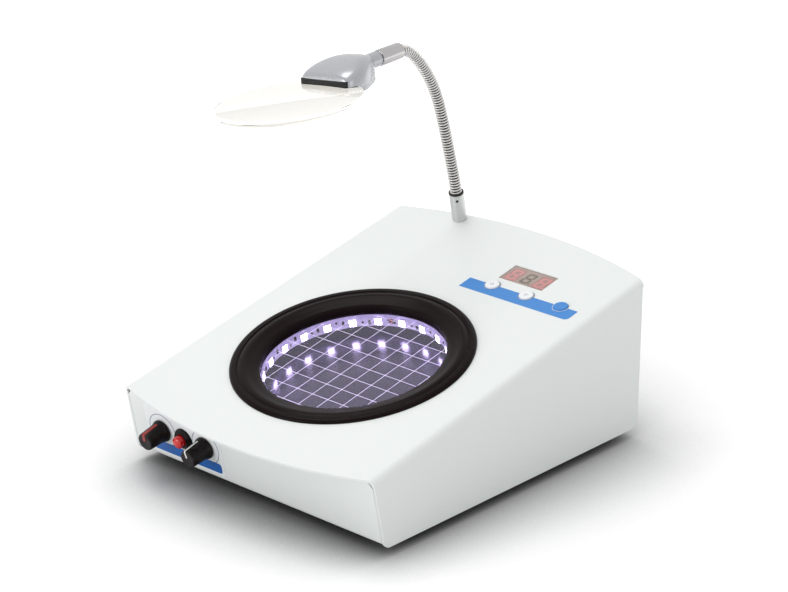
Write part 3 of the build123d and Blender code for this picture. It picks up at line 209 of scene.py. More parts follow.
# Moulded coloured thermoplastics of pointers and button.
POINTER_RED = Finish("pointer_red", "#941A1E", 0.35, mottle_mm=2, mottle=0.08)
POINTER_WHITE = Finish("pointer_white", "#F2F2F0", 0.4, mottle_mm=2, mottle=0.02)
BUTTON_RED = Finish("button_red", "#D4100E", 0.22, coat=0.4, mottle_mm=3, mottle=0.05, grain_mm=0.6,
                    grain=0.02)
# Green solder mask over woven glass.
BOARD_GREEN = Finish("solder_mask", "#0F5A2C", 0.3, mottle_mm=2, mottle=0.12, grain_mm=0.6)
# Filled epoxy of chips, sounder and switch bodies.
EPOXY_BLACK = Finish("epoxy_black", "#171717", 0.55, mottle_mm=1.5, mottle=0.1, grain_mm=0.2, grain=0.1)
# Smoked polycarbonate over the digits, and the digit block behind it. The block, the unlit segments and the
# haze over the lit digits glow as painted light; the lit segments are the display's own lamps.
DISPLAY_FACE_GLOW = Finish("digit_block_painted_glow", "#958D88", 0.5, mottle_mm=6, mottle=0.06, body=Body.GLOW, glow=1.3)
DIGIT_SPILL_GLOW = Finish("digit_spill_painted_glow", "#A18785", 0.5, mottle_mm=3, mottle=0.1, body=Body.GLOW, glow=0.9)
DIGIT_LIT = Finish("digit_lit", "#C48D90", 0.4, mottle_mm=2, mottle=0.05, body=Body.GLOW, glow=1.0)
DIGIT_DIM_GLOW = Finish("digit_dim_painted_glow", "#6F7A6E", 0.45, mottle_mm=2, mottle=0.05, body=Body.GLOW, glow=0.5)
PANE_CLEAR = Finish("pane_clear", "#F4F2FA", 0.02, ior=1.5, body=Body.PANE)
PANE_SMOKED = Finish("pane_smoked", "#ECE6E4", 0.12, ior=1.5, body=Body.PANE)
# Cast acrylic lens, clear with a bright rim.
LENS_ACRYLIC = Finish("lens_acrylic", "#EAE7E0", 0.0, ior=1.49, body=Body.LENS)
# Ultraviolet-tinged white light of the lamps, and the printed grid that it edge-lights, which glows as
# painted light.
LAMP_LIGHT = Finish("lamp_light", "#DCCBFF", 0.4, body=Body.GLOW, glow=36.0)
GRID_INK_GLOW = Finish("grid_ink_painted_glow", "#EEE6F5", 0.4, mottle_mm=6, mottle=0.1, body=Body.GLOW, glow=1.4)


# Past this ray depth the lens lets light straight through, with this tint.
LENS_CLEAR_DEPTH = 2.5
LENS_TINT = (0.93, 0.93, 0.91, 1.0)
# Exponent of the growth of a flat pane's gloss at a slant.
FRESNEL_POWER = 5.0


class Palette:
    """Makes each finish's material once."""

    def __init__(self) -> None:
        """Starts with no material made."""
        self._made: dict[str, bpy.types.Material] = {}

    def get(self, finish: Finish) -> bpy.types.Material:
        """Returns the material of a finish.

        Args:
            finish: The finish.

        Returns:
            Its material, made on first use.
        """
        if finish.name not in self._made:
            material = bpy.data.materials.new(finish.name)
            self._build(fresh_tree(material), finish)
            self._made[finish.name] = material
        return self._made[finish.name]

    def _build(self, tree: bpy.types.NodeTree, finish: Finish) -> None:
        """Builds the nodes of one finish."""
        if finish.body is Body.PANE:
            shader = self._pane(tree, finish)
        else:
            shader = self._principled(tree, finish)
        add_node(tree, "ShaderNodeOutputMaterial", inputs={"Surface": shader})

    def _tone(self, tree: bpy.types.NodeTree, finish: Finish) -> tuple[bpy.types.NodeSocket, ...]:
        """Adds the slow mottle and the fine grain on Object coordinates.

        Returns:
            The mottle's and the grain's factor sockets.
        """
        place = add_node(tree, "ShaderNodeTexCoord").outputs["Object"]
        scale = tuple(1 / s for s in finish.stretch)
        drawn = add_node(tree, "ShaderNodeMapping", inputs={"Vector": place, "Scale": scale}).outputs[0]
        slow = add_node(tree, "ShaderNodeTexNoise",
                        inputs={"Vector": drawn, "Scale": 1 / (finish.mottle_mm * MM), "Detail": 4.0})
        fine = add_node(tree, "ShaderNodeTexNoise",
                        inputs={"Vector": drawn, "Scale": 1 / (finish.grain_mm * MM), "Detail": 2.0})
        return slow.outputs[0], fine.outputs[0]

    def _principled(self, tree: bpy.types.NodeTree, finish: Finish) -> bpy.types.NodeSocket:
        """Adds the main shader of an opaque, glowing or refracting finish.

        Returns:
            The shader's output socket.
        """
        slow, fine = self._tone(tree, finish)
        base = linear(finish.colour)
        low = tuple(c * (1 - finish.mottle) for c in base[:3]) + (1.0,)
        high = tuple(min(1.0, c * (1 + finish.mottle)) for c in base[:3]) + (1.0,)
        tone = add_node(tree, "ShaderNodeMix", {"data_type": "RGBA"}, {0: slow, 6: low, 7: high})
        shader = add_node(tree, "ShaderNodeBsdfPrincipled", inputs={"IOR": finish.ior})
        tree.links.new(tone.outputs[2], shader.inputs["Base Color"])
        shader.inputs["Metallic"].default_value = finish.metallic
        shader.inputs["Coat Weight"].default_value = finish.coat
        shader.inputs["Specular IOR Level"].default_value = finish.specular
        if finish.body is Body.LENS:
            shader.inputs["Roughness"].default_value = finish.roughness
            shader.inputs["Transmission Weight"].default_value = 1.0
            return self._lit_through(tree, shader.outputs[0])
        rough = add_node(tree, "ShaderNodeMapRange", inputs={
            "Value": slow, "To Min": finish.roughness - finish.polish,
            "To Max": finish.roughness + finish.polish})
        tree.links.new(rough.outputs[0], shader.inputs["Roughness"])
        bump = add_node(tree, "ShaderNodeBump", inputs={
            "Height": fine, "Strength": finish.grain, "Distance": finish.grain_mm * MM})
        tree.links.new(bump.outputs[0], shader.inputs["Normal"])
        if finish.body is Body.GLOW:
            tree.links.new(tone.outputs[2], shader.inputs["Emission Color"])
            shader.inputs["Emission Strength"].default_value = finish.glow
        return shader.outputs[0]

    def _lit_through(self, tree: bpy.types.NodeTree, solid: bpy.types.NodeSocket) -> bpy.types.NodeSocket:
        """Lets light leave the lens: straight through for shadows, and after a few inner reflections.

        Returns:
            The mixed shader's output socket.
        """
        path = add_node(tree, "ShaderNodeLightPath")
        deep = calc(tree, "GREATER_THAN", path.outputs["Ray Depth"], LENS_CLEAR_DEPTH)
        out = calc(tree, "MAXIMUM", path.outputs["Is Shadow Ray"], deep)
        clear = add_node(tree, "ShaderNodeBsdfTransparent", inputs={"Color": LENS_TINT})
        mix = add_node(tree, "ShaderNodeMixShader", inputs={0: out, 1: solid, 2: clear.outputs[0]})
        return mix.outputs[0]

    def _pane(self, tree: bpy.types.NodeTree, finish: Finish) -> bpy.types.NodeSocket:
        """Adds a flat clear pane: see-through, with a gloss that grows at a slant.

        Returns:
            The shader's output socket.
        """
        slow, _ = self._tone(tree, finish)
        see = add_node(tree, "ShaderNodeBsdfTransparent", inputs={"Color": linear(finish.colour)})
        rough = add_node(tree, "ShaderNodeMapRange", inputs={
            "Value": slow, "To Min": finish.roughness * 0.5, "To Max": finish.roughness * 1.5})
        gloss = add_node(tree, "ShaderNodeBsdfGlossy", inputs={"Roughness": rough.outputs[0]})
        slant = add_node(tree, "ShaderNodeLayerWeight", inputs={"Blend": 0.5}).outputs["Facing"]
        rise = calc(tree, "POWER", slant, FRESNEL_POWER)
        straight = ((finish.ior - 1) / (finish.ior + 1)) ** 2
        share = calc(tree, "MULTIPLY_ADD", rise, 1 - straight, straight)
        return add_node(tree, "ShaderNodeMixShader", inputs={
            0: share, 1: see.outputs[0], 2: gloss.outputs[0]}).outputs[0]


PALETTE = Palette()


# ---------------------------------------------------------------- placing and mesh helpers
def shift(x: float, y: float, z: float) -> Matrix:
    """A move given in millimetres, as a frame in metres."""
    return Matrix.Translation(Vector((x, y, z)) * MM)


def turned(degrees: float, axis: str = "Z") -> Matrix:
    """A turn about an axis, as a frame."""
    return Matrix.Rotation(math.radians(degrees), 4, axis)


def settle(
    name: str,
    mesh_maker: bmesh.types.BMesh,
    finish: Finish,
    place: Optional[Matrix] = None,
    soften_mm: float = 0.0,
    sharp_deg: float = 35.0,
    recalculate: bool = True,
) -> bpy.types.Object:
    """Turns a bmesh in millimetres into a finished object at the origin.

    Args:
        name: The piece's name.
        mesh_maker: The bmesh, which is freed.
        finish: Its finish.
        place: The local frame it was drawn in, in metres.
        soften_mm: Radius put on edges sharper than sharp_deg.
        sharp_deg: Angle past which an edge shades sharp.
        recalculate: Whether to point the faces outwards.

    Returns:
        The new object.
    """
    bm = mesh_maker
    bmesh.ops.remove_doubles(bm, verts=bm.verts, dist=1e-4)
    if recalculate:
        bmesh.ops.recalc_face_normals(bm, faces=bm.faces)
    if soften_mm > 0:
        crisp = [e for e in bm.edges if e.is_manifold and e.calc_face_angle(0) > math.radians(sharp_deg)]
        bmesh.ops.bevel(bm, geom=crisp, offset=soften_mm, offset_type="OFFSET", segments=3, profile=0.5,
                        affect="EDGES", clamp_overlap=True, material=-1)
    bmesh.ops.transform(bm, matrix=(place or Matrix.Identity(4)) @ Matrix.Scale(MM, 4), verts=bm.verts)
    for face in bm.faces:
        face.smooth = True
    for edge in bm.edges:
        edge.smooth = not (edge.is_manifold and edge.calc_face_angle(0) > math.radians(sharp_deg))
    mesh = bpy.data.meshes.new(name)
    bm.to_mesh(mesh)
    bm.free()
    piece = bpy.data.objects.new(name, mesh)
    bpy.context.scene.collection.objects.link(piece)
    mesh.materials.append(PALETTE.get(finish))
    LOG.info("%s: %d faces", name, len(mesh.polygons))
    return piece


def spun(profile: Sequence[Point], steps: int = 96, closed: bool = True) -> bmesh.types.BMesh:
    """Spins an outline of (radius, height) points about the z axis.

    Args:
        profile: The outline in millimetres.
        steps: Steps in the full turn.
        closed: Whether the last point joins the first.

    Returns:
        The spun bmesh.
    """
    bm = bmesh.new()
    verts = [bm.verts.new((radius, 0, height)) for radius, height in profile]
    pairs = list(zip(verts, verts[1:])) + ([(verts[-1], verts[0])] if closed else [])
    edges = [bm.edges.new(pair) for pair in pairs]
    bmesh.ops.spin(bm, geom=verts + edges, cent=(0, 0, 0), axis=(0, 0, 1), angle=math.tau, steps=steps,
                   use_merge=True)
    bmesh.ops.remove_doubles(bm, verts=bm.verts, dist=1e-4)
    slivers = [e for e in bm.edges if e.calc_length() < 1e-5]
    if slivers:
        bmesh.ops.dissolve_degenerate(bm, dist=1e-5, edges=slivers)
    return bm


def block(bm: bmesh.types.BMesh, size: tuple[float, float, float], place: Matrix) -> None:
    """Adds a box of a size, centred in a local frame.

    Args:
        bm: The bmesh to add to.
        size: Lengths along x, y and z in millimetres.
        place: Its frame, in millimetres.
    """
    bmesh.ops.create_cube(bm, size=1.0, matrix=place @ Matrix.Diagonal((*size, 1.0)))


def plate(outline: Sequence[Point], low: float, high: float) -> bmesh.types.BMesh:
    """Extrudes a flat outline between two heights.

    Args:
        outline: Corner points in order, in millimetres.
        low: Lower height.
        high: Upper height.

    Returns:
        The plate's bmesh.
    """
    bm = bmesh.new()
    face = bm.faces.new([bm.verts.new((x, y, low)) for x, y in outline])
    grown = bmesh.ops.extrude_face_region(bm, geom=[face])
    tops = [item for item in grown["geom"] if isinstance(item, bmesh.types.BMVert)]
    bmesh.ops.translate(bm, vec=(0, 0, high - low), verts=tops)
    return bm


def rounded_box(left: float, right: float, bottom: float, top: float, radii: Sequence[float]) -> list[Point]:
    """The outline of a rectangle with its own radius at each corner.

    Args:
        left: Low x.
        right: High x.
        bottom: Low y.
        top: High y.
        radii: Radii from the lower left corner, anticlockwise.

    Returns:
        The outline's points.
    """
    ends = [(left, bottom, 1, 1, 180), (right, bottom, -1, 1, 270),
            (right, top, -1, -1, 0), (left, top, 1, -1, 90)]
    points: list[Point] = []
    for (x, y, sx, sy, start), radius in zip(ends, radii):
        steps = 6 if radius > 0 else 0
        for i in range(steps + 1):
            angle = math.radians(start + (90 * i / steps if steps else 45))
            reach = radius if steps else 0.0
            points.append((x + sx * radius + reach * math.cos(angle),
                           y + sy * radius + reach * math.sin(angle)))
    return points


def arc_band(
    radius: float, width: float, start: float, end: float, low: float, high: float
) -> bmesh.types.BMesh:
    """A flat curved strip, as a printed arc.

    Args:
        radius: Middle radius in millimetres.
        width: Its width.
        start: First angle in degrees.
        end: Last angle in degrees.
        low: Lower height.
        high: Upper height.

    Returns:
        The strip's bmesh.
    """
    bm = bmesh.new()
    turn = turned(start)
    inner, outer = radius - width / 2, radius + width / 2
    section = [(inner, low), (outer, low), (outer, high), (inner, high)]
    face = bm.faces.new([bm.verts.new(turn @ Vector((r, 0, z))) for r, z in section])
    is_full = end - start >= 360
    steps = max(4, int((end - start) / 4))
    bmesh.ops.spin(bm, geom=[face], cent=(0, 0, 0), axis=(0, 0, 1), angle=math.radians(end - start),
                   steps=steps, use_merge=is_full)
    return bm


def smooth_copy(node: str, name: str, finish: Finish, sharp_deg: float = 30.0) -> bpy.types.Object:
    """Copies a CAD node, merges its loose triangles and shades its curves smooth.

    Args:
        node: The CAD node.
        name: The new piece's name.
        finish: Its finish.
        sharp_deg: Angle past which an edge shades sharp.

    Returns:
        The new object, which replaces the node.
    """
    bm = bmesh.new()
    bm.from_mesh(bpy.data.objects[node].data)
    bmesh.ops.scale(bm, vec=(1 / MM,) * 3, verts=bm.verts)
    bmesh.ops.remove_doubles(bm, verts=bm.verts, dist=1e-3)
    piece = settle(name, bm, finish, sharp_deg=sharp_deg, recalculate=False)
    weighted = piece.modifiers.new("even_shading", "WEIGHTED_NORMAL")
    weighted.keep_sharp = True
    weighted.weight = 80
    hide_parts(node)
    return piece


# ---------------------------------------------------------------- frames
@dataclass
class Frames:
    """Local frames of the case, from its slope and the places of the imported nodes."""

    slope_deg: float = 12.1
    top_length: float = 248.0
    front_height: float = 45.4
    sheet: float = 1.5
    clearance: float = 7.0
    glass_depth: float = 4.5
    glass_thickness: float = 2.0

    @property
    def slope(self) -> float:
        """The top's slope in radians."""
        return math.radians(self.slope_deg)

    @property
    def front_y(self) -> float:
        """The front corners' y in millimetres."""
        return -(self.top_length * math.cos(self.slope) + self.sheet * math.sin(self.slope)) / 2

    def top(self, x: float, s: float, h: float = 0.0) -> Matrix:
        """A frame on the sloping top.

        Args:
            x: Across, in millimetres.
            s: Up the slope from the front corners.
            h: Out of the top.

        Returns:
            The frame in metres, z out of the top.
        """
        origin = shift(0, self.front_y, self.clearance + self.front_height)
        return origin @ Matrix.Rotation(self.slope, 4, "X") @ shift(x, s, h)

    def front(self, x: float, up: float, out: float = 0.0) -> Matrix:
        """A frame on the front panel, z out of it and y up it.

        Args:
            x: Across, in millimetres.
            up: Up the panel from the cover's lower edge.
            out: Out of the panel.

        Returns:
            The frame in metres.
        """
        y = self.front_y + self.front_height * math.tan(self.slope)
        turn = Matrix.Rotation(self.slope + math.pi / 2, 4, "X")
        return shift(0, y, self.clearance) @ turn @ shift(x, up, out)

    def stage(self) -> Matrix:
        """The stage's frame: z out of the top through the glass's centre, level with the top."""
        low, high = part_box("grid_glass")
        middle = self.glass_depth + self.glass_thickness / 2
        lift = Matrix.Translation((0, 0, middle * MM))
        return Matrix.Translation((low + high) / 2) @ Matrix.Rotation(self.slope, 4, "X") @ lift


FRAMES = Frames()


# ---------------------------------------------------------------- the case
@dataclass
class Case:
    """Cover, chassis, feet and the pieces inside that nobody sees when it is closed."""

    inner: dict[str, Finish] = field(default_factory=lambda: {
        "cover_brackets": ZINC, "foot_screws": ZINC, "short_screws": ZINC, "lock_nuts": ZINC,
        "glass_gasket": RUBBER, "tray_studs": ZINC, "key_switches": EPOXY_BLACK,
        "control_board": BOARD_GREEN, "board_standoffs": ZINC, "counter_chip": EPOXY_BLACK,
        "buzzer": EPOXY_BLACK, "pot_bodies": ZINC, "pot_washers": ZINC, "pot_nuts": ZINC,
        "left_pot_shaft": ANODISED, "right_pot_shaft": ANODISED, "button_nut": ZINC, "socket_nuts": ZINC,
    })

    def build(self) -> None:
        """Dresses the case and everything inside it."""
        for node, name in (("top_cover", "cover_sheet"), ("chassis", "chassis_sheet")):
            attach(smooth_copy(node, name, POWDER_COAT, 40), "housing")
        feet = smooth_copy("rubber_feet", "moulded_feet", RUBBER, 50)
        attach(feet, "housing")
        for node, name in (("power_socket", "inlet_moulding"), ("probe_socket", "jack_moulding")):
            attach(smooth_copy(node, name, EPOXY_BLACK), "housing")
        for node, finish in self.inner.items():
            dress_node(node, finish)


def dress_node(node: str, finish: Finish) -> None:
    """Gives a CAD node that stays in view its finish.

    Args:
        node: The node's name.
        finish: The finish.
    """
    mesh = bpy.data.objects[node].data
    mesh.materials.clear()
    mesh.materials.append(PALETTE.get(finish))
    LOG.info("%s keeps its solid", node)


# ---------------------------------------------------------------- the lit stage
@dataclass
class LitStage:
    """Trim ring, glass with its counting grid, lamp well and lamp tape."""

    ring_radius: float = 75.0
    bore: float = 56.5
    grid_pitch: float = 12.4
    grid_reach: float = 56.2
    line_width: float = 0.2
    line_height: float = 0.05
    tray_radius: float = 58.0
    tape_top: float = -7.0
    tape_width: float = 8.0
    tape_thickness: float = 0.3
    lamp_count: int = 22
    lamp_phase: float = 3.2
    lamp_side: float = 5.0
    lamp_height: float = 1.5
    lamp_face: float = 4.2
    face_film: float = 0.1
    chips: tuple[tuple[float, tuple[float, float, float]], ...] = (
        (0.36, (0.6, 1.4, 2.4)), (0.62, (0.5, 1.1, 1.3)))
    chip_scatter: float = 1.4
    chip_seed: int = 7
    marker_step: float = 6.5
    marker_size: tuple[float, float, float] = (0.5, 2.6, 3.0)

    def build(self) -> None:
        """Makes and places the stage's pieces."""
        stage = FRAMES.stage()
        self._ring(stage)
        self._glass(stage)
        self._grid(stage)
        # The well's violet tint is painted lamp light.
        well = smooth_copy("lamp_tray", "lamp_well", WELL_VIOLET_CAST, 30)
        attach(well, "housing")
        # The tape's lilac glow is painted lamp light.
        tape = smooth_copy("lamp_tape", "tape_hoop", TAPE_WHITE_GLOW, 40)
        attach(tape, "housing")
        self._lamps(stage)
        self._tape_parts(stage)

    def _ring(self, stage: Matrix) -> None:
        """Moulded ring: rolled outer bead, fine groove, flat band and a slope down to the bore."""
        outline: list[Point] = [(self.ring_radius, 0.0), (self.ring_radius, 0.7)]
        outline += [(self.ring_radius - 2.6 + 2.6 * math.cos(a), 0.7 + 1.9 * math.sin(a))
                    for a in (math.radians(d) for d in range(15, 91, 15))]
        outline += [(70.6, 2.6), (70.2, 2.0), (69.6, 2.0), (69.2, 2.4), (66.0, 2.2), (64.6, 1.95)]
        outline += [(63.6, 1.5), (60.5, 0.9), (58.2, 0.3), (57.0, -0.35), (self.bore, -1.2)]
        outline += [(self.bore, -5.0), (60.3, -5.0), (60.3, -8.0), (62.8, -8.0), (62.8, 0.0)]
        ring = settle("trim_ring", spun(outline, 160), RING_ABS, stage, sharp_deg=50)
        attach(ring, "housing")
        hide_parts("stage_ring")

    def _glass(self, stage: Matrix) -> None:
        """Float-glass disc with a stepped rim and ground edges."""
        face, radius, top, rim, bottom, bevel = self.bore - 0.3, 60.0, -4.5, -5.0, -6.5, 0.2
        outline = [(0, top), (face - bevel, top), (face, top - bevel), (face, rim), (radius - bevel, rim),
                   (radius, rim - bevel), (radius, bottom + bevel), (radius - bevel, bottom), (0, bottom)]
        glass = settle("float_glass", spun(outline, 128, closed=False), PANE_CLEAR, stage)
        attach(glass, "housing")
        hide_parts("grid_glass")

    def _grid(self, stage: Matrix) -> None:
        """Fine printed lines, one through the centre each way, which glow as painted light."""
        bm = bmesh.new()
        height = -FRAMES.glass_depth - FRAMES.glass_thickness - self.line_height / 2 - 0.01
        count = int(self.grid_reach / self.grid_pitch)
        for i in range(-count, count + 1):
            offset = i * self.grid_pitch
            length = 2 * math.sqrt(self.grid_reach**2 - offset**2)
            for turn in (0.0, math.pi / 2):
                spin = Matrix.Rotation(turn, 4, "Z") @ Matrix.Translation((0, offset, height))
                block(bm, (length, self.line_width, self.line_height), spin)
        grid = settle("counting_grid", bm, GRID_INK_GLOW, stage)
        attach(grid, "housing")

    def _lamps(self, stage: Matrix) -> None:
        """Lamp packages: a white frame, which glows faintly as painted light, with a glowing face."""
        frames_bm, faces_bm = bmesh.new(), bmesh.new()
        middle = self.tape_top - self.tape_width / 2
        face = self.tray_radius - self.tape_thickness
        depth = math.sqrt(face**2 - (self.lamp_side / 2) ** 2)
        shine = depth - self.lamp_height - self.face_film / 2
        for i in range(self.lamp_count):
            turn = turned(self.lamp_phase + 360 / self.lamp_count * i)
            block(frames_bm, (self.lamp_height, self.lamp_side, self.lamp_side),
                  turn @ Matrix.Translation((depth - self.lamp_height / 2, 0, middle)))
            block(faces_bm, (self.face_film, self.lamp_face, self.lamp_face),
                  turn @ Matrix.Translation((shine, 0, middle)))
        frames = settle("lamp_frames", frames_bm, TAPE_WHITE_GLOW, stage, soften_mm=0.15)
        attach(frames, "housing")
        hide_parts("lamps")
        glow = settle("lamp_faces", faces_bm, LAMP_LIGHT, stage)
        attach(glow, "housing")

    def _tape_parts(self, stage: Matrix) -> None:
        """Resistors between the lamps, two dark chips in each gap, and one red marker."""
        dark, red = bmesh.new(), bmesh.new()
        middle = self.tape_top - self.tape_width / 2
        reach = self.tray_radius - self.tape_thickness - 0.35
        step = 360 / self.lamp_count
        chance = random.Random(self.chip_seed)
        for i in range(self.lamp_count):
            for share, size in self.chips:
                turn = turned(self.lamp_phase + step * (i + share))
                lift = chance.uniform(-self.chip_scatter, self.chip_scatter)
                block(dark, size, turn @ Matrix.Translation((reach, 0, middle + lift)))
        turn = turned(self.lamp_phase + step * self.marker_step)
        block(red, self.marker_size, turn @ Matrix.Translation((reach, 0, middle)))
        for name, bm, finish in (("tape_resistors", dark, EPOXY_BLACK), ("tape_marker", red, POINTER_RED)):
            piece = settle(name, bm, finish, stage)
            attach(piece, "housing")


# ---------------------------------------------------------------- display and keys
@dataclass
class CounterPanel:
    """Printed key strip, three keys and a three-digit display on the sloping top."""

    left: float = 4.0
    right: float = 89.0
    bottom: float = 188.0
    top: float = 199.0
    corner: float = 3.0
    key_s: float = 198.4
    key_xs: tuple[float, ...] = (22.4, 49.4, 76.4)
    key_radius: float = 4.6
    key_top: float = 1.2
    film: float = 0.3
    window: tuple[float, float] = (36.7, 216.3)
    window_size: tuple[float, float] = (33.6, 16.6)
    digit_pitch: float = 11.0
    digit_size: tuple[float, float] = (6.6, 11.6)
    segment: float = 1.5
    slant: float = 0.12
    block_depths: tuple[float, float] = (-10.0, -0.9)
    spill_glow_box: tuple[float, float, float, float] = (-5.0, 5.0, -7.4, 7.4)
    spill_glow_corner: float = 1.5
    pane_thickness: float = 0.6
    arrow_side: float = 2.6
    arrow_line: float = 0.3

    def build(self) -> None:
        """Makes and places the panel's pieces."""
        self._strip()
        names = ("left_key", "middle_key", "right_key")
        for name, x, finish in zip(names, self.key_xs, (KEY_WHITE, KEY_WHITE, STRIP_BLUE)):
            self._key(name, x, finish)
        for name, x, turn in (("left_key", self.key_xs[0], 0.0), ("middle_key", self.key_xs[1], math.pi)):
            self._arrow(name, x, turn)
        self._display()

    def _strip(self) -> None:
        """Blue film with a thin outline round each key."""
        outline = rounded_box(self.left, self.right, self.bottom, self.top, (0, self.corner, 0, 0))
        bm = plate(outline, 0.02, self.film * 0.6)
        strip = settle("key_strip_film", bm, STRIP_BLUE, FRAMES.top(0, 0))
        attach(strip, "housing")
        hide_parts("key_strip")
        for i, x in enumerate(self.key_xs):
            place = FRAMES.top(x, self.key_s)
            line = arc_band(self.key_radius + 0.55, 0.4, 0, 360, 0.02, self.film)
            ink = PRINT_GREY if i < 2 else FILM_WHITE
            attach(settle(f"key_outline_{i}", line, ink, place), "housing")

    def _key(self, name: str, x: float, finish: Finish) -> None:
        """One key cap with a shallow finger dish and its plunger."""
        radius, top = self.key_radius, self.key_top
        outline = [(0, top - 0.12), (radius * 0.6, top - 0.1), (radius - 0.75, top),
                   (radius - 0.25, top - 0.12), (radius, top - 0.5), (radius, top - 2.6), (1.7, top - 2.6),
                   (1.7, -7.7), (0, -7.7)]
        cap = settle(f"{name}_cap_top", spun(outline, 48, closed=False), finish, FRAMES.top(x, self.key_s))
        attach(cap, f"{name}_cap")
        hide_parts(name)

    def _arrow(self, name: str, x: float, turn: float) -> None:
        """A plain printed triangle on a key, which points up or down the slope."""
        bm = bmesh.new()
        side = self.arrow_side
        drop = Matrix.Translation((0, -side / math.sqrt(12), self.key_top - 0.09))
        for i in range(3):
            spin = Matrix.Rotation(turn + i * math.tau / 3, 4, "Z")
            block(bm, (side, self.arrow_line, 0.06), spin @ drop)
        arrow = settle(f"{name}_arrow", bm, PRINT_GREY, FRAMES.top(x, self.key_s))
        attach(arrow, f"{name}_cap")

    def _display(self) -> None:
        """Digit block, lit and unlit segments, a painted glow over the lit digits and the smoked pane over
        them; the block and the unlit segments glow as painted light.
        """
        width, height = self.window_size
        place = FRAMES.top(*self.window)
        block_bm = bmesh.new()
        low, high = self.block_depths
        block(block_bm, (width, height, high - low), Matrix.Translation((0, 0, (low + high) / 2)))
        face = settle("digit_block_moulding", block_bm, DISPLAY_FACE_GLOW, place, soften_mm=0.3)
        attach(face, "housing")
        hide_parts("display_module")
        # The middle digit's unlit segments glow faintly as painted light.
        for i, ink in zip((-1, 0, 1), (DIGIT_LIT, DIGIT_DIM_GLOW, DIGIT_LIT)):
            digit = bmesh.new()
            self._digit(digit, i * self.digit_pitch)
            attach(settle(f"digit_{i + 2}", digit, ink, place), "housing")
            if ink is DIGIT_LIT:
                # A plate of painted glow over each lit digit, for the light that it spills into the pane.
                spill_glow_box = plate(rounded_box(*self.spill_glow_box, (self.spill_glow_corner,) * 4), high + 0.01, high + 0.04)
                cell = place @ Matrix.Translation((i * self.digit_pitch * MM, 0, 0))
                spill_glow_plate = settle(f"digit_spill_painted_glow_{i + 2}", spill_glow_box, DIGIT_SPILL_GLOW, cell)
                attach(spill_glow_plate, "housing")
        pane_bm = bmesh.new()
        thick = self.pane_thickness
        block(pane_bm, (width, height, thick), Matrix.Translation((0, 0, -thick / 2)))
        pane = settle("smoked_pane", pane_bm, PANE_SMOKED, place, soften_mm=0.15)
        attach(pane, "housing")
        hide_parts("display_window")

    def _digit(self, bm: bmesh.types.BMesh, x: float) -> None:
        """Adds the seven bars of one slanted digit and its point."""
        wide, tall = self.digit_size
        bars = [(0, s * (tall - self.segment) / 2, wide - 1.9, self.segment) for s in (-1, 0, 1)]
        bars += [(sx * (wide - self.segment) / 2, sy * tall / 4, self.segment, tall / 2 - 1.3)
                 for sx in (-1, 1) for sy in (-1, 1)]
        bars.append((wide / 2 + 1.2, -(tall - 1.3) / 2, 1.3, 1.3))
        lean = Matrix.Identity(4)
        lean[0][1] = self.slant
        for bx, by, bw, bh in bars:
            spot = Matrix.Translation((x, 0, -0.8)) @ lean @ Matrix.Translation((bx, by, 0))
            block(bm, (bw, bh, 0.08), spot)


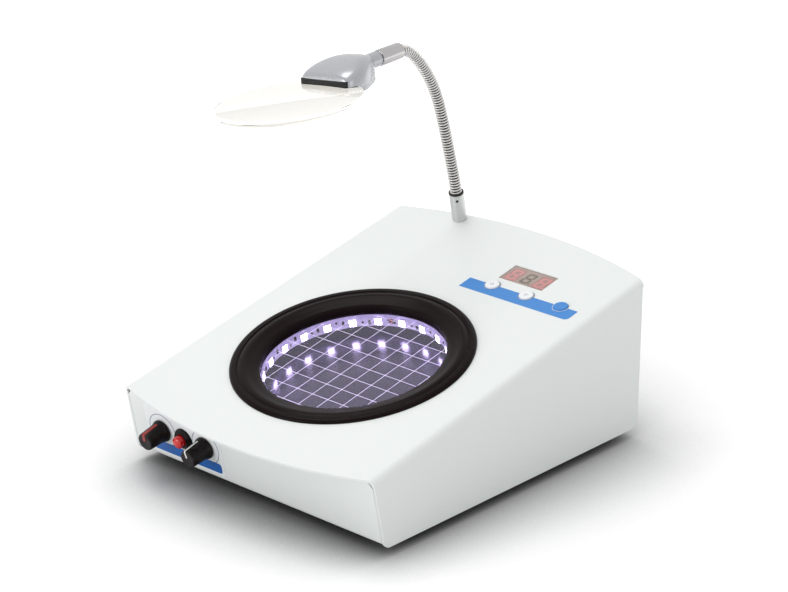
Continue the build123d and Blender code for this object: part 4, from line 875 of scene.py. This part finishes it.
# ---------------------------------------------------------------- front controls
@dataclass
class FrontControls:
    """Printed label, two dimmer knobs and the red push button on the front panel."""

    button_x: float = -56.1
    pitch: float = 18.2
    height: float = 22.2
    label: tuple[float, float, float, float] = (-88.0, -24.6, 4.6, 38.0)
    label_thickness: float = 0.2
    strip: tuple[float, float, float, float] = (-84.0, -26.6, 6.6, 13.5)
    dial_radius: float = 11.0
    dial_line: float = 0.36
    dial_sweep: tuple[float, float] = (-62.0, 242.0)
    knob_length: float = 15.0
    knob_gap: float = 0.6
    flutes: int = 24
    flute_depth: float = 0.16
    cap_top: float = 7.4
    cap_radius: float = 3.8
    dome_rise: float = 1.9

    def build(self) -> None:
        """Makes and places the controls."""
        self._label()
        for side, sign, ink in (("left", -1, POINTER_RED), ("right", 1, POINTER_WHITE)):
            self._knob(side, self.button_x + sign * self.pitch)
            self._pointer(side, ink)
        self._button()

    def _label(self) -> None:
        """White film with a blue strip and a dial arc round each knob."""
        film = smooth_copy("control_label", "label_film", FILM_WHITE)
        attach(film, "housing")
        left, right, bottom, top = self.strip
        low, high = self.label_thickness, self.label_thickness + 0.06
        bm = plate(rounded_box(left, right, bottom, top, (0.6, 2.0, 2.0, 0.6)), low, high)
        strip = settle("label_strip", bm, LABEL_BLUE, FRAMES.front(0, 0))
        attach(strip, "housing")
        for i, sign in enumerate((-1, 1)):
            x = self.button_x + sign * self.pitch
            arc = arc_band(self.dial_radius, self.dial_line, *self.dial_sweep, low, high)
            print_arc = settle(f"dial_arc_{i}", arc, PRINT_BLUE, FRAMES.front(x, self.height))
            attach(print_arc, "housing")

    def _knob(self, side: str, x: float) -> None:
        """Fluted knob with a flared skirt, recessed over its nut."""
        base, end = self.knob_gap, self.knob_gap + self.knob_length
        outline = [(6.2, base), (6.85, base), (7.15, base + 0.3), (7.15, base + 1.3), (6.9, base + 1.8),
                   (6.4, base + 3.2), (6.2, base + 3.8), (5.95, end - 6.0), (5.65, end - 0.9),
                   (5.4, end - 0.35), (4.9, end - 0.12), (3.9, end - 0.25), (0, end - 0.25)]
        outline += [(0, 14.0), (3.05, 14.0), (3.05, base + 3.2), (6.2, base + 3.2)]
        bm = spun(outline, self.flutes * 8, closed=True)
        for vert in bm.verts:
            radius = math.hypot(vert.co.x, vert.co.y)
            if base + 3.5 < vert.co.z < end - 0.7 and radius > 5.0:
                angle = math.atan2(vert.co.y, vert.co.x)
                cut = self.flute_depth * (1 - abs(math.cos(self.flutes / 2 * angle)))
                vert.co.x *= 1 - cut / radius
                vert.co.y *= 1 - cut / radius
        knob = settle(f"{side}_fluted_knob", bm, KNOB_PHENOLIC, FRAMES.front(x, self.height), sharp_deg=45)
        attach(knob, f"{side}_dial")
        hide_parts(f"{side}_knob")

    def _pointer(self, side: str, ink: Finish) -> None:
        """Coloured inlay down the knob's side and into its end."""
        inlay = smooth_copy(f"{side}_pointer", f"{side}_pointer_inlay", ink)
        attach(inlay, f"{side}_dial")

    def _button(self) -> None:
        """Black bezel with a round shoulder, and a domed red cap on its stem."""
        place = FRAMES.front(self.button_x, self.height)
        bezel = [(6.8, 0), (6.8, 1.1), (6.6, 1.5), (6.1, 1.9), (5.7, 2.6), (5.35, 3.1), (4.7, 3.2),
                 (4.1, 3.0), (3.85, 2.6), (3.85, -8.5), (2.05, -8.5), (2.05, -12.5), (0, -12.5),
                 (0, -13.5), (4.9, -13.5), (4.9, 0)]
        piece = settle("button_bezel", spun(bezel, 72), KNOB_PHENOLIC, place)
        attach(piece, "housing")
        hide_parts("button_housing")
        radius, rise = self.cap_radius, self.dome_rise
        dome = [(radius * math.sin(a), self.cap_top - rise + rise * math.cos(a))
                for a in (math.radians(d) for d in range(0, 91, 10))]
        cap = dome + [(radius, -3.3), (2.0, -3.3), (2.0, -9.9), (0, -9.9)]
        piece = settle("button_cap_red", spun(cap, 64, closed=False), BUTTON_RED, place)
        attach(piece, "button_cap")
        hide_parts("red_button")


# ---------------------------------------------------------------- flexible neck
@dataclass
class Neck:
    """Collar, wound neck and chrome ferrule. The neck's path curves through eight links."""

    link_length: float = 15.7
    turns: tuple[float, ...] = (3.3, 0.5, 0.5, 3.1, 8.8, 9.2, 10.4, 45.1)
    x: float = -51.0
    collar_s: float = 253.6
    start: float = 21.0
    ribs_per_link: int = 8
    crest: float = 3.92
    valley: float = 2.9
    gap_share: float = 0.45
    ring_steps: int = 28
    wall: float = 1.2
    blend_reach: float = 5.5

    def path(self, distance: float) -> Matrix:
        """The frame at a distance along the neck from its first joint.

        Args:
            distance: In millimetres, below 0 inside the collar.

        Returns:
            The frame in millimetres, z along the neck.
        """
        x, y, z = FRAMES.top(self.x, self.collar_s, self.start).translation / MM
        lean = FRAMES.slope
        for turn in self.turns if distance > 0 else ():
            curve = math.radians(turn) / self.link_length
            step = min(distance, self.link_length)
            after = lean + curve * step
            y -= (math.cos(lean) - math.cos(after)) / curve
            z += (math.sin(after) - math.sin(lean)) / curve
            lean = after
            distance -= step
            if distance <= 0:
                break
        y -= distance * math.sin(lean)
        z += distance * math.cos(lean)
        return Matrix.Translation((x, y, z)) @ Matrix.Rotation(lean, 4, "X")

    def build(self) -> None:
        """Makes and places the neck's pieces."""
        self._collar()
        count = len(self.turns)
        for i in range(count):
            begin = (i - 0.5) * self.link_length
            tube = self._hose(f"wound_neck_{i}", begin, begin + self.link_length)
            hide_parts("neck_root" if i == 0 else f"neck_link_{i}")
            joint = i * self.link_length
            low = self.path(joint - self.blend_reach).translation * MM
            high = self.path(joint + self.blend_reach).translation * MM
            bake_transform(tube)
        tip = self._hose(f"wound_neck_{count}", (count - 0.5) * self.link_length, count * self.link_length)
        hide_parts(f"neck_link_{count}")
        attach(tip, f"neck_{count}")
        self._ferrule(self.path(count * self.link_length))

    def _hose(self, name: str, begin: float, end: float) -> bpy.types.Object:
        """A stretch of wound tube, spun straight and then laid on the neck's path, with painted shade in its
        gaps and inside.
        """
        pitch = self.link_length / self.ribs_per_link
        ribs = round((end - begin) / pitch)
        wire = 1 - self.gap_share
        outline: list[Point] = []
        for rib in range(ribs):
            outline.append((self.valley, begin + rib * pitch))
            for angle in range(0, 180, 30):
                along = self.gap_share + wire * (1 - math.cos(math.radians(angle))) / 2
                bulge = (self.crest - self.valley) * math.sin(math.radians(angle))
                outline.append((self.valley + bulge, begin + (rib + along) * pitch))
        outline += [(self.valley, end), (self.valley - self.wall, end), (self.valley - self.wall, begin)]
        bm = spun(outline, self.ring_steps)
        bmesh.ops.recalc_face_normals(bm, faces=bm.faces)
        # Faces in the winding gaps and on the tube's inside get the near-black painted shade.
        for face in bm.faces:
            middle = face.calc_center_median()
            in_painted_shade = (middle.z - begin) / pitch % 1 < self.gap_share or middle.xy.length < self.valley - 0.1
            face.material_index = 1 if in_painted_shade else 0
        for vert in bm.verts:
            vert.co = self.path(vert.co.z) @ Vector((vert.co.x, vert.co.y, 0))
        tube = settle(name, bm, NECK_STEEL, sharp_deg=80, recalculate=False)
        tube.data.materials.append(PALETTE.get(NECK_GAP_SHADE))
        return tube

    def _collar(self) -> None:
        """Turned collar with its dark ring and the set screw."""
        place = FRAMES.top(self.x, self.collar_s)
        collar = smooth_copy("gooseneck_collar", "turned_collar", ANODISED, 40)
        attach(collar, "housing")
        ring = [(3.85, 19.0), (4.75, 19.0), (4.9, 19.15), (4.9, 19.55), (4.65, 19.7), (4.9, 19.85),
                (4.9, 20.25), (4.7, 20.4), (3.85, 20.4)]
        band = settle("collar_band", spun(ring, 72), RUBBER, place)
        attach(band, "housing")
        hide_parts("collar_ring")
        dress_node("collar_set_screw", EPOXY_BLACK)

    def _ferrule(self, end: Matrix) -> None:
        """Chrome ferrule with rolled rims."""
        outline = [(3.9, -1.5), (4.8, -1.5), (5.15, -1.3), (5.3, -0.8), (5.3, 16.6), (5.15, 17.3),
                   (4.7, 17.6), (2.5, 17.6), (2.5, 9.0), (0, 9.0), (0, 0.1), (3.9, 0.1)]
        place = Matrix.Diagonal((MM, MM, MM, 1)) @ end @ Matrix.Diagonal((1 / MM, 1 / MM, 1 / MM, 1))
        ferrule = settle("chrome_ferrule", spun(outline, 80), CHROME, place)
        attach(ferrule, "neck_8")
        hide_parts("end_ferrule")


# ---------------------------------------------------------------- magnifier
@dataclass(frozen=True)
class Section:
    """A cross-section of a moulded shell, in the head's frame."""

    y: float
    half_width: float
    height: float


@dataclass
class Magnifier:
    """Lens, its two-part head and the stem that turns in the ferrule."""

    swivel: dict[str, object]
    roll_deg: float = 7.5
    lens_radius: float = 45.0
    lens_top: float = -5.0
    lens_edge: float = 3.5
    crown: float = 2.0
    lens_centre: float = 79.3
    split: float = -6.75
    slot_fit: float = 0.35
    squareness: float = 0.5
    ring_points: int = 24
    oval_place: tuple[float, float, float] = (-1.0, -29.0, 7.2)
    oval_tilt_deg: float = 9.0
    oval_reach: tuple[float, float, float] = (5.2, 2.9, 1.0)
    grip_place: tuple[float, float] = (13.0, -20.5)
    grip_size: tuple[float, float, float] = (0.7, 10.0, 0.5)
    grip_splay_deg: float = 28.0
    upper: tuple[Section, ...] = (
        Section(-49.0, 18.0, 0.8), Section(-47.6, 20.6, 3.4), Section(-42.0, 22.2, 5.6),
        Section(-34.0, 21.6, 7.6), Section(-26.0, 17.6, 8.8), Section(-19.0, 13.4, 8.2),
        Section(-14.0, 10.4, 6.8), Section(-12.2, 8.8, 5.2),
    )
    lower: tuple[Section, ...] = (
        Section(-44.5, 15.0, -9.4), Section(-42.6, 17.8, -11.2), Section(-34.0, 20.0, -11.9),
        Section(-26.0, 16.6, -11.9), Section(-19.0, 12.8, -11.8), Section(-14.0, 10.0, -11.2),
        Section(-12.2, 8.6, -10.4),
    )

    def frame(self) -> Matrix:
        """The head's frame at the swivel: y back along the ferrule, z out of the lens."""
        along = Vector(self.swivel["axis"]).normalized()
        along = along if along.y < 0 else -along
        tilt = math.atan2(-along.z, -along.y)
        place = Matrix.Translation(Vector(self.swivel["pos_m"]))
        return place @ Matrix.Rotation(tilt, 4, "X") @ turned(-self.roll_deg, "Y")

    def build(self) -> None:
        """Makes and places the magnifier's pieces."""
        place = self.frame()
        self._lens(place)
        for node, name, sections in (("head_upper_shell", "upper_moulding", self.upper),
                                     ("head_lower_shell", "lower_moulding", self.lower)):
            self._shell(node, name, sections, place)
        self._stem(place)
        self._trim(place)
        dress_node("clamp_screws", ZINC)

    def _lens_form(self, grow: float = 0.0) -> bmesh.types.BMesh:
        """The double convex disc, larger all round by grow, with a slightly rounded rim."""
        radius = self.lens_radius + grow
        high, low = self.lens_top + grow, self.lens_top - self.lens_edge - grow
        sphere = (radius**2 + self.crown**2) / (2 * self.crown)
        shares = (0, 0.12, 0.25, 0.38, 0.5, 0.62, 0.74, 0.85, 0.94)
        rings = [radius * share for share in shares] + [radius - 0.4]
        rise = [math.sqrt(sphere**2 - r**2) - (sphere - self.crown) for r in rings]
        outline = [(r, high + up) for r, up in zip(rings, rise)]
        outline += [(radius, high - 0.4), (radius, low + 0.4)]
        outline += [(r, low - up) for r, up in reversed(list(zip(rings, rise)))]
        return spun(outline, 160, closed=False)

    def _lens(self, place: Matrix) -> None:
        """Cast lens in the head's slot."""
        centre = place @ shift(0, -self.lens_centre, 0)
        lens = settle("cast_lens", self._lens_form(), LENS_ACRYLIC, centre, sharp_deg=30)
        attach(lens, "magnifier")
        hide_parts("magnifier_lens")

    def _ring(self, bm: bmesh.types.BMesh, section: Section) -> list[bmesh.types.BMEdge]:
        """One rounded cross-section: a squarish dome on a flat base.

        Returns:
            The section's edges.
        """
        verts = bmesh.ops.create_circle(bm, radius=1.0, segments=self.ring_points)["verts"]
        reach = section.height - self.split
        for vert in verts:
            across, up = vert.co.x, vert.co.y
            dome = max(0.0, up) ** self.squareness
            width = math.copysign(abs(across) ** self.squareness, across) if up > 0 else across
            vert.co = Vector((section.half_width * width, section.y, self.split + reach * dome))
        return list({edge for vert in verts for edge in vert.link_edges})

    def _shell(self, node: str, name: str, sections: Sequence[Section], place: Matrix) -> None:
        """A moulded half of the head, lofted along its sections and slotted for the lens."""
        bm = bmesh.new()
        rings = [self._ring(bm, section) for section in sections]
        for first, second in zip(rings, rings[1:]):
            bmesh.ops.bridge_loops(bm, edges=first + second)
        for ring in (rings[0], rings[-1]):
            bmesh.ops.contextual_create(bm, geom=ring)
        piece = settle(name, bm, SILVER_LACQUER, place, sharp_deg=180)
        centre = place @ shift(0, -self.lens_centre, 0)
        cutter = settle(f"{name}_cutter", self._lens_form(self.slot_fit), RUBBER, centre)
        rounded = piece.modifiers.new("rounded", "SUBSURF")
        rounded.levels = rounded.render_levels = 2
        slot = piece.modifiers.new("lens_slot", "BOOLEAN")
        slot.operation, slot.object, slot.solver = "DIFFERENCE", cutter, "EXACT"
        bpy.context.view_layer.update()
        mesh = bpy.data.meshes.new_from_object(piece.evaluated_get(bpy.context.evaluated_depsgraph_get()))
        piece.modifiers.clear()
        piece.data = mesh
        bpy.data.objects.remove(cutter)
        mesh.set_sharp_from_angle(angle=math.radians(40))
        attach(piece, "magnifier")
        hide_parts(node)

    def _trim(self, place: Matrix) -> None:
        """Black strip in the slot's mouth, the oval inlay on top, lighter than the lacquer as a painted
        highlight, and two grip lines on each side.
        """
        strip = plate(rounded_box(-19.3, 19.3, -49.3, -45.5, (1.6, 1.6, 0.4, 0.4)), -4.9, -0.6)
        liner = settle("slot_strip", strip, RUBBER, place, soften_mm=1.0)
        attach(liner, "magnifier")
        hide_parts("slot_liner")
        tilt = shift(*self.oval_place) @ turned(self.oval_tilt_deg, "X")
        oval = spun([(0, 0.25), (0.8, 0.22), (0.95, 0.1), (1.0, -0.4), (0, -0.4)], 48, closed=False)
        bmesh.ops.scale(oval, vec=self.oval_reach, verts=oval.verts)
        # The inlay's light colour is a painted highlight.
        inlay = settle("oval_inlay", oval, SILVER_HIGHLIGHT, place @ tilt)
        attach(inlay, "magnifier")
        lines = bmesh.new()
        out, along = self.grip_place
        for side in (-1, 1):
            for height in (-2.6, -0.6):
                spot = Matrix.Translation((side * out, along, height))
                block(lines, self.grip_size, spot @ turned(side * self.grip_splay_deg))
        grip = settle("grip_lines", lines, SILVER_LACQUER, place, soften_mm=0.15)
        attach(grip, "magnifier")

    def _stem(self, place: Matrix) -> None:
        """Silver stem with its pin in the ferrule."""
        outline = [(0, -17.0), (5.0, -17.0), (5.0, -1.1), (4.7, -0.6), (4.2, -0.3), (2.4, -0.3)]
        outline += [(2.4, 8.0), (0, 8.0)]
        turn = place @ Matrix.Rotation(-math.pi / 2, 4, "X")
        stem = settle("silver_stem", spun(outline, 72, closed=False), SILVER_LACQUER, turn)
        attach(stem, "magnifier")
        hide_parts("swivel_stem")


# ---------------------------------------------------------------- studio
@dataclass
class Studio:
    """Plain pale floor with a painted contact shadow, soft light and the camera."""

    camera_mm: tuple[float, float, float] = (1024.48, -1130.53, 692.62)
    lens_mm: float = 124.19
    across: tuple[float, float, float] = (0.74138663, 0.67104814, 0.00634487)
    upward: tuple[float, float, float] = (-0.24681528, 0.26386975, 0.93244569)
    backward: tuple[float, float, float] = (0.62404173, -0.69286878, 0.36125444)
    floor_size: float = 12.0
    floor_tone: float = 0.88
    floor_gain: float = 0.27
    floor_near: float = 0.3
    floor_far: float = 1.3
    floor_lift: float = 0.8
    painted_shadow_reach: float = 0.16
    painted_shadow_samples: int = 8
    sensor_mm: float = 36.0
    clip_end: float = 30.0
    sky: float = 0.69

    def build(self) -> None:
        """Makes the floor, the lights, the world and the camera."""
        self._floor()
        self._world()
        self._light("key_bank", (-0.85, -0.1, 2.6), (0, 0, 0.05), 1.5, 23.0)
        self._light("side_fill", (2.0, -0.2, 0.7), (0, 0, 0.06), 0.9, 3.0)
        self._light("front_fill", (-0.6, -2.0, 0.5), (0, 0, 0.06), 0.9, 10.5)
        self._camera()

    def _seen(self, tree: bpy.types.NodeTree) -> bpy.types.NodeSocket:
        """Adds the test for rays that show the background, straight, mirrored or through glass.

        Returns:
            The socket, 1 for such a ray.
        """
        path = add_node(tree, "ShaderNodeLightPath")
        direct = calc(tree, "MAXIMUM", path.outputs["Is Camera Ray"], path.outputs["Is Transmission Ray"])
        return calc(tree, "MAXIMUM", direct, path.outputs["Is Glossy Ray"])

    def _floor(self) -> None:
        """A pale sheet that runs off in every direction and turns white where nothing shades it, darkened
        near the object by a painted shadow.
        """
        bm = bmesh.new()
        bmesh.ops.create_grid(bm, x_segments=2, y_segments=2, size=self.floor_size / 2 / MM)
        paper = bpy.data.materials.new("studio_paper")
        tree = fresh_tree(paper)
        place = add_node(tree, "ShaderNodeTexCoord").outputs["Object"]
        away = add_node(tree, "ShaderNodeVectorMath", {"operation": "LENGTH"}, {0: place}).outputs["Value"]
        lift = add_node(tree, "ShaderNodeMapRange", inputs={
            "Value": away, "From Min": self.floor_near, "From Max": self.floor_far,
            "To Min": self.floor_gain, "To Max": self.floor_gain + self.floor_lift})
        tone = calc(tree, "MULTIPLY_ADD", self._seen(tree), lift.outputs[0], self.floor_tone)
        # Painted shadow: ambient occlusion darkens the floor's colour near the object.
        painted_contact_shadow = add_node(tree, "ShaderNodeAmbientOcclusion", {"samples": self.painted_shadow_samples}, {
            "Color": WHITE, "Distance": self.painted_shadow_reach})
        shaded = calc(tree, "MULTIPLY", tone, painted_contact_shadow.outputs["AO"])
        matt = add_node(tree, "ShaderNodeBsdfDiffuse", inputs={"Color": shaded})
        add_node(tree, "ShaderNodeOutputMaterial", inputs={"Surface": matt.outputs[0]})
        floor = settle("studio_floor", bm, RUBBER, recalculate=False)
        floor.data.materials[0] = paper

    def _world(self) -> None:
        """Even pale sky, white where it is seen."""
        world = bpy.data.worlds.new("studio_sky")
        tree = fresh_tree(world)
        skies = [add_node(tree, "ShaderNodeBackground", inputs={"Color": WHITE, "Strength": strength})
                 for strength in (self.sky, 1.0)]
        mix = add_node(tree, "ShaderNodeMixShader", inputs={
            0: self._seen(tree), 1: skies[0].outputs[0], 2: skies[1].outputs[0]})
        add_node(tree, "ShaderNodeOutputWorld", inputs={"Surface": mix.outputs[0]})
        bpy.context.scene.world = world

    def _light(
        self, name: str, place: Sequence[float], aim: Sequence[float], size: float, power: float
    ) -> None:
        """Adds a soft square lamp.

        Args:
            name: Its name.
            place: Where it hangs, in metres.
            aim: The point that it faces.
            size: Its side in metres.
            power: Its power in watts.
        """
        lamp = bpy.data.lights.new(name, "AREA")
        lamp.shape, lamp.size, lamp.energy = "SQUARE", size, power
        piece = bpy.data.objects.new(name, lamp)
        piece.location = place
        piece.rotation_euler = (Vector(aim) - Vector(place)).to_track_quat("-Z", "Y").to_euler()
        bpy.context.scene.collection.objects.link(piece)

    def _camera(self) -> None:
        """Sets the camera on the object."""
        lens = bpy.data.cameras.new("camera")
        lens.lens, lens.sensor_width = self.lens_mm, self.sensor_mm
        lens.clip_end = self.clip_end
        camera = bpy.data.objects.new("camera", lens)
        columns = [Vector(v) for v in (self.across, self.upward, self.backward)]
        turn = Matrix(columns).transposed().to_4x4()
        camera.matrix_world = shift(*self.camera_mm) @ turn
        bpy.context.scene.collection.objects.link(camera)
        bpy.context.scene.camera = camera


def main() -> None:
    """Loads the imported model, dresses it and sets the studio round it."""
    logging.basicConfig(level=logging.INFO, format="%(message)s")
    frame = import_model()
    swivel = next(joint for joint in frame["joints"] if joint["name"] == "head_swivel")
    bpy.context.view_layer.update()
    Studio().build()
    Case().build()
    LitStage().build()
    CounterPanel().build()
    FrontControls().build()
    Neck().build()
    Magnifier(swivel).build()
    scene = bpy.context.scene
    scene.view_settings.view_transform = "Standard"


if __name__ == "__main__":
    main()
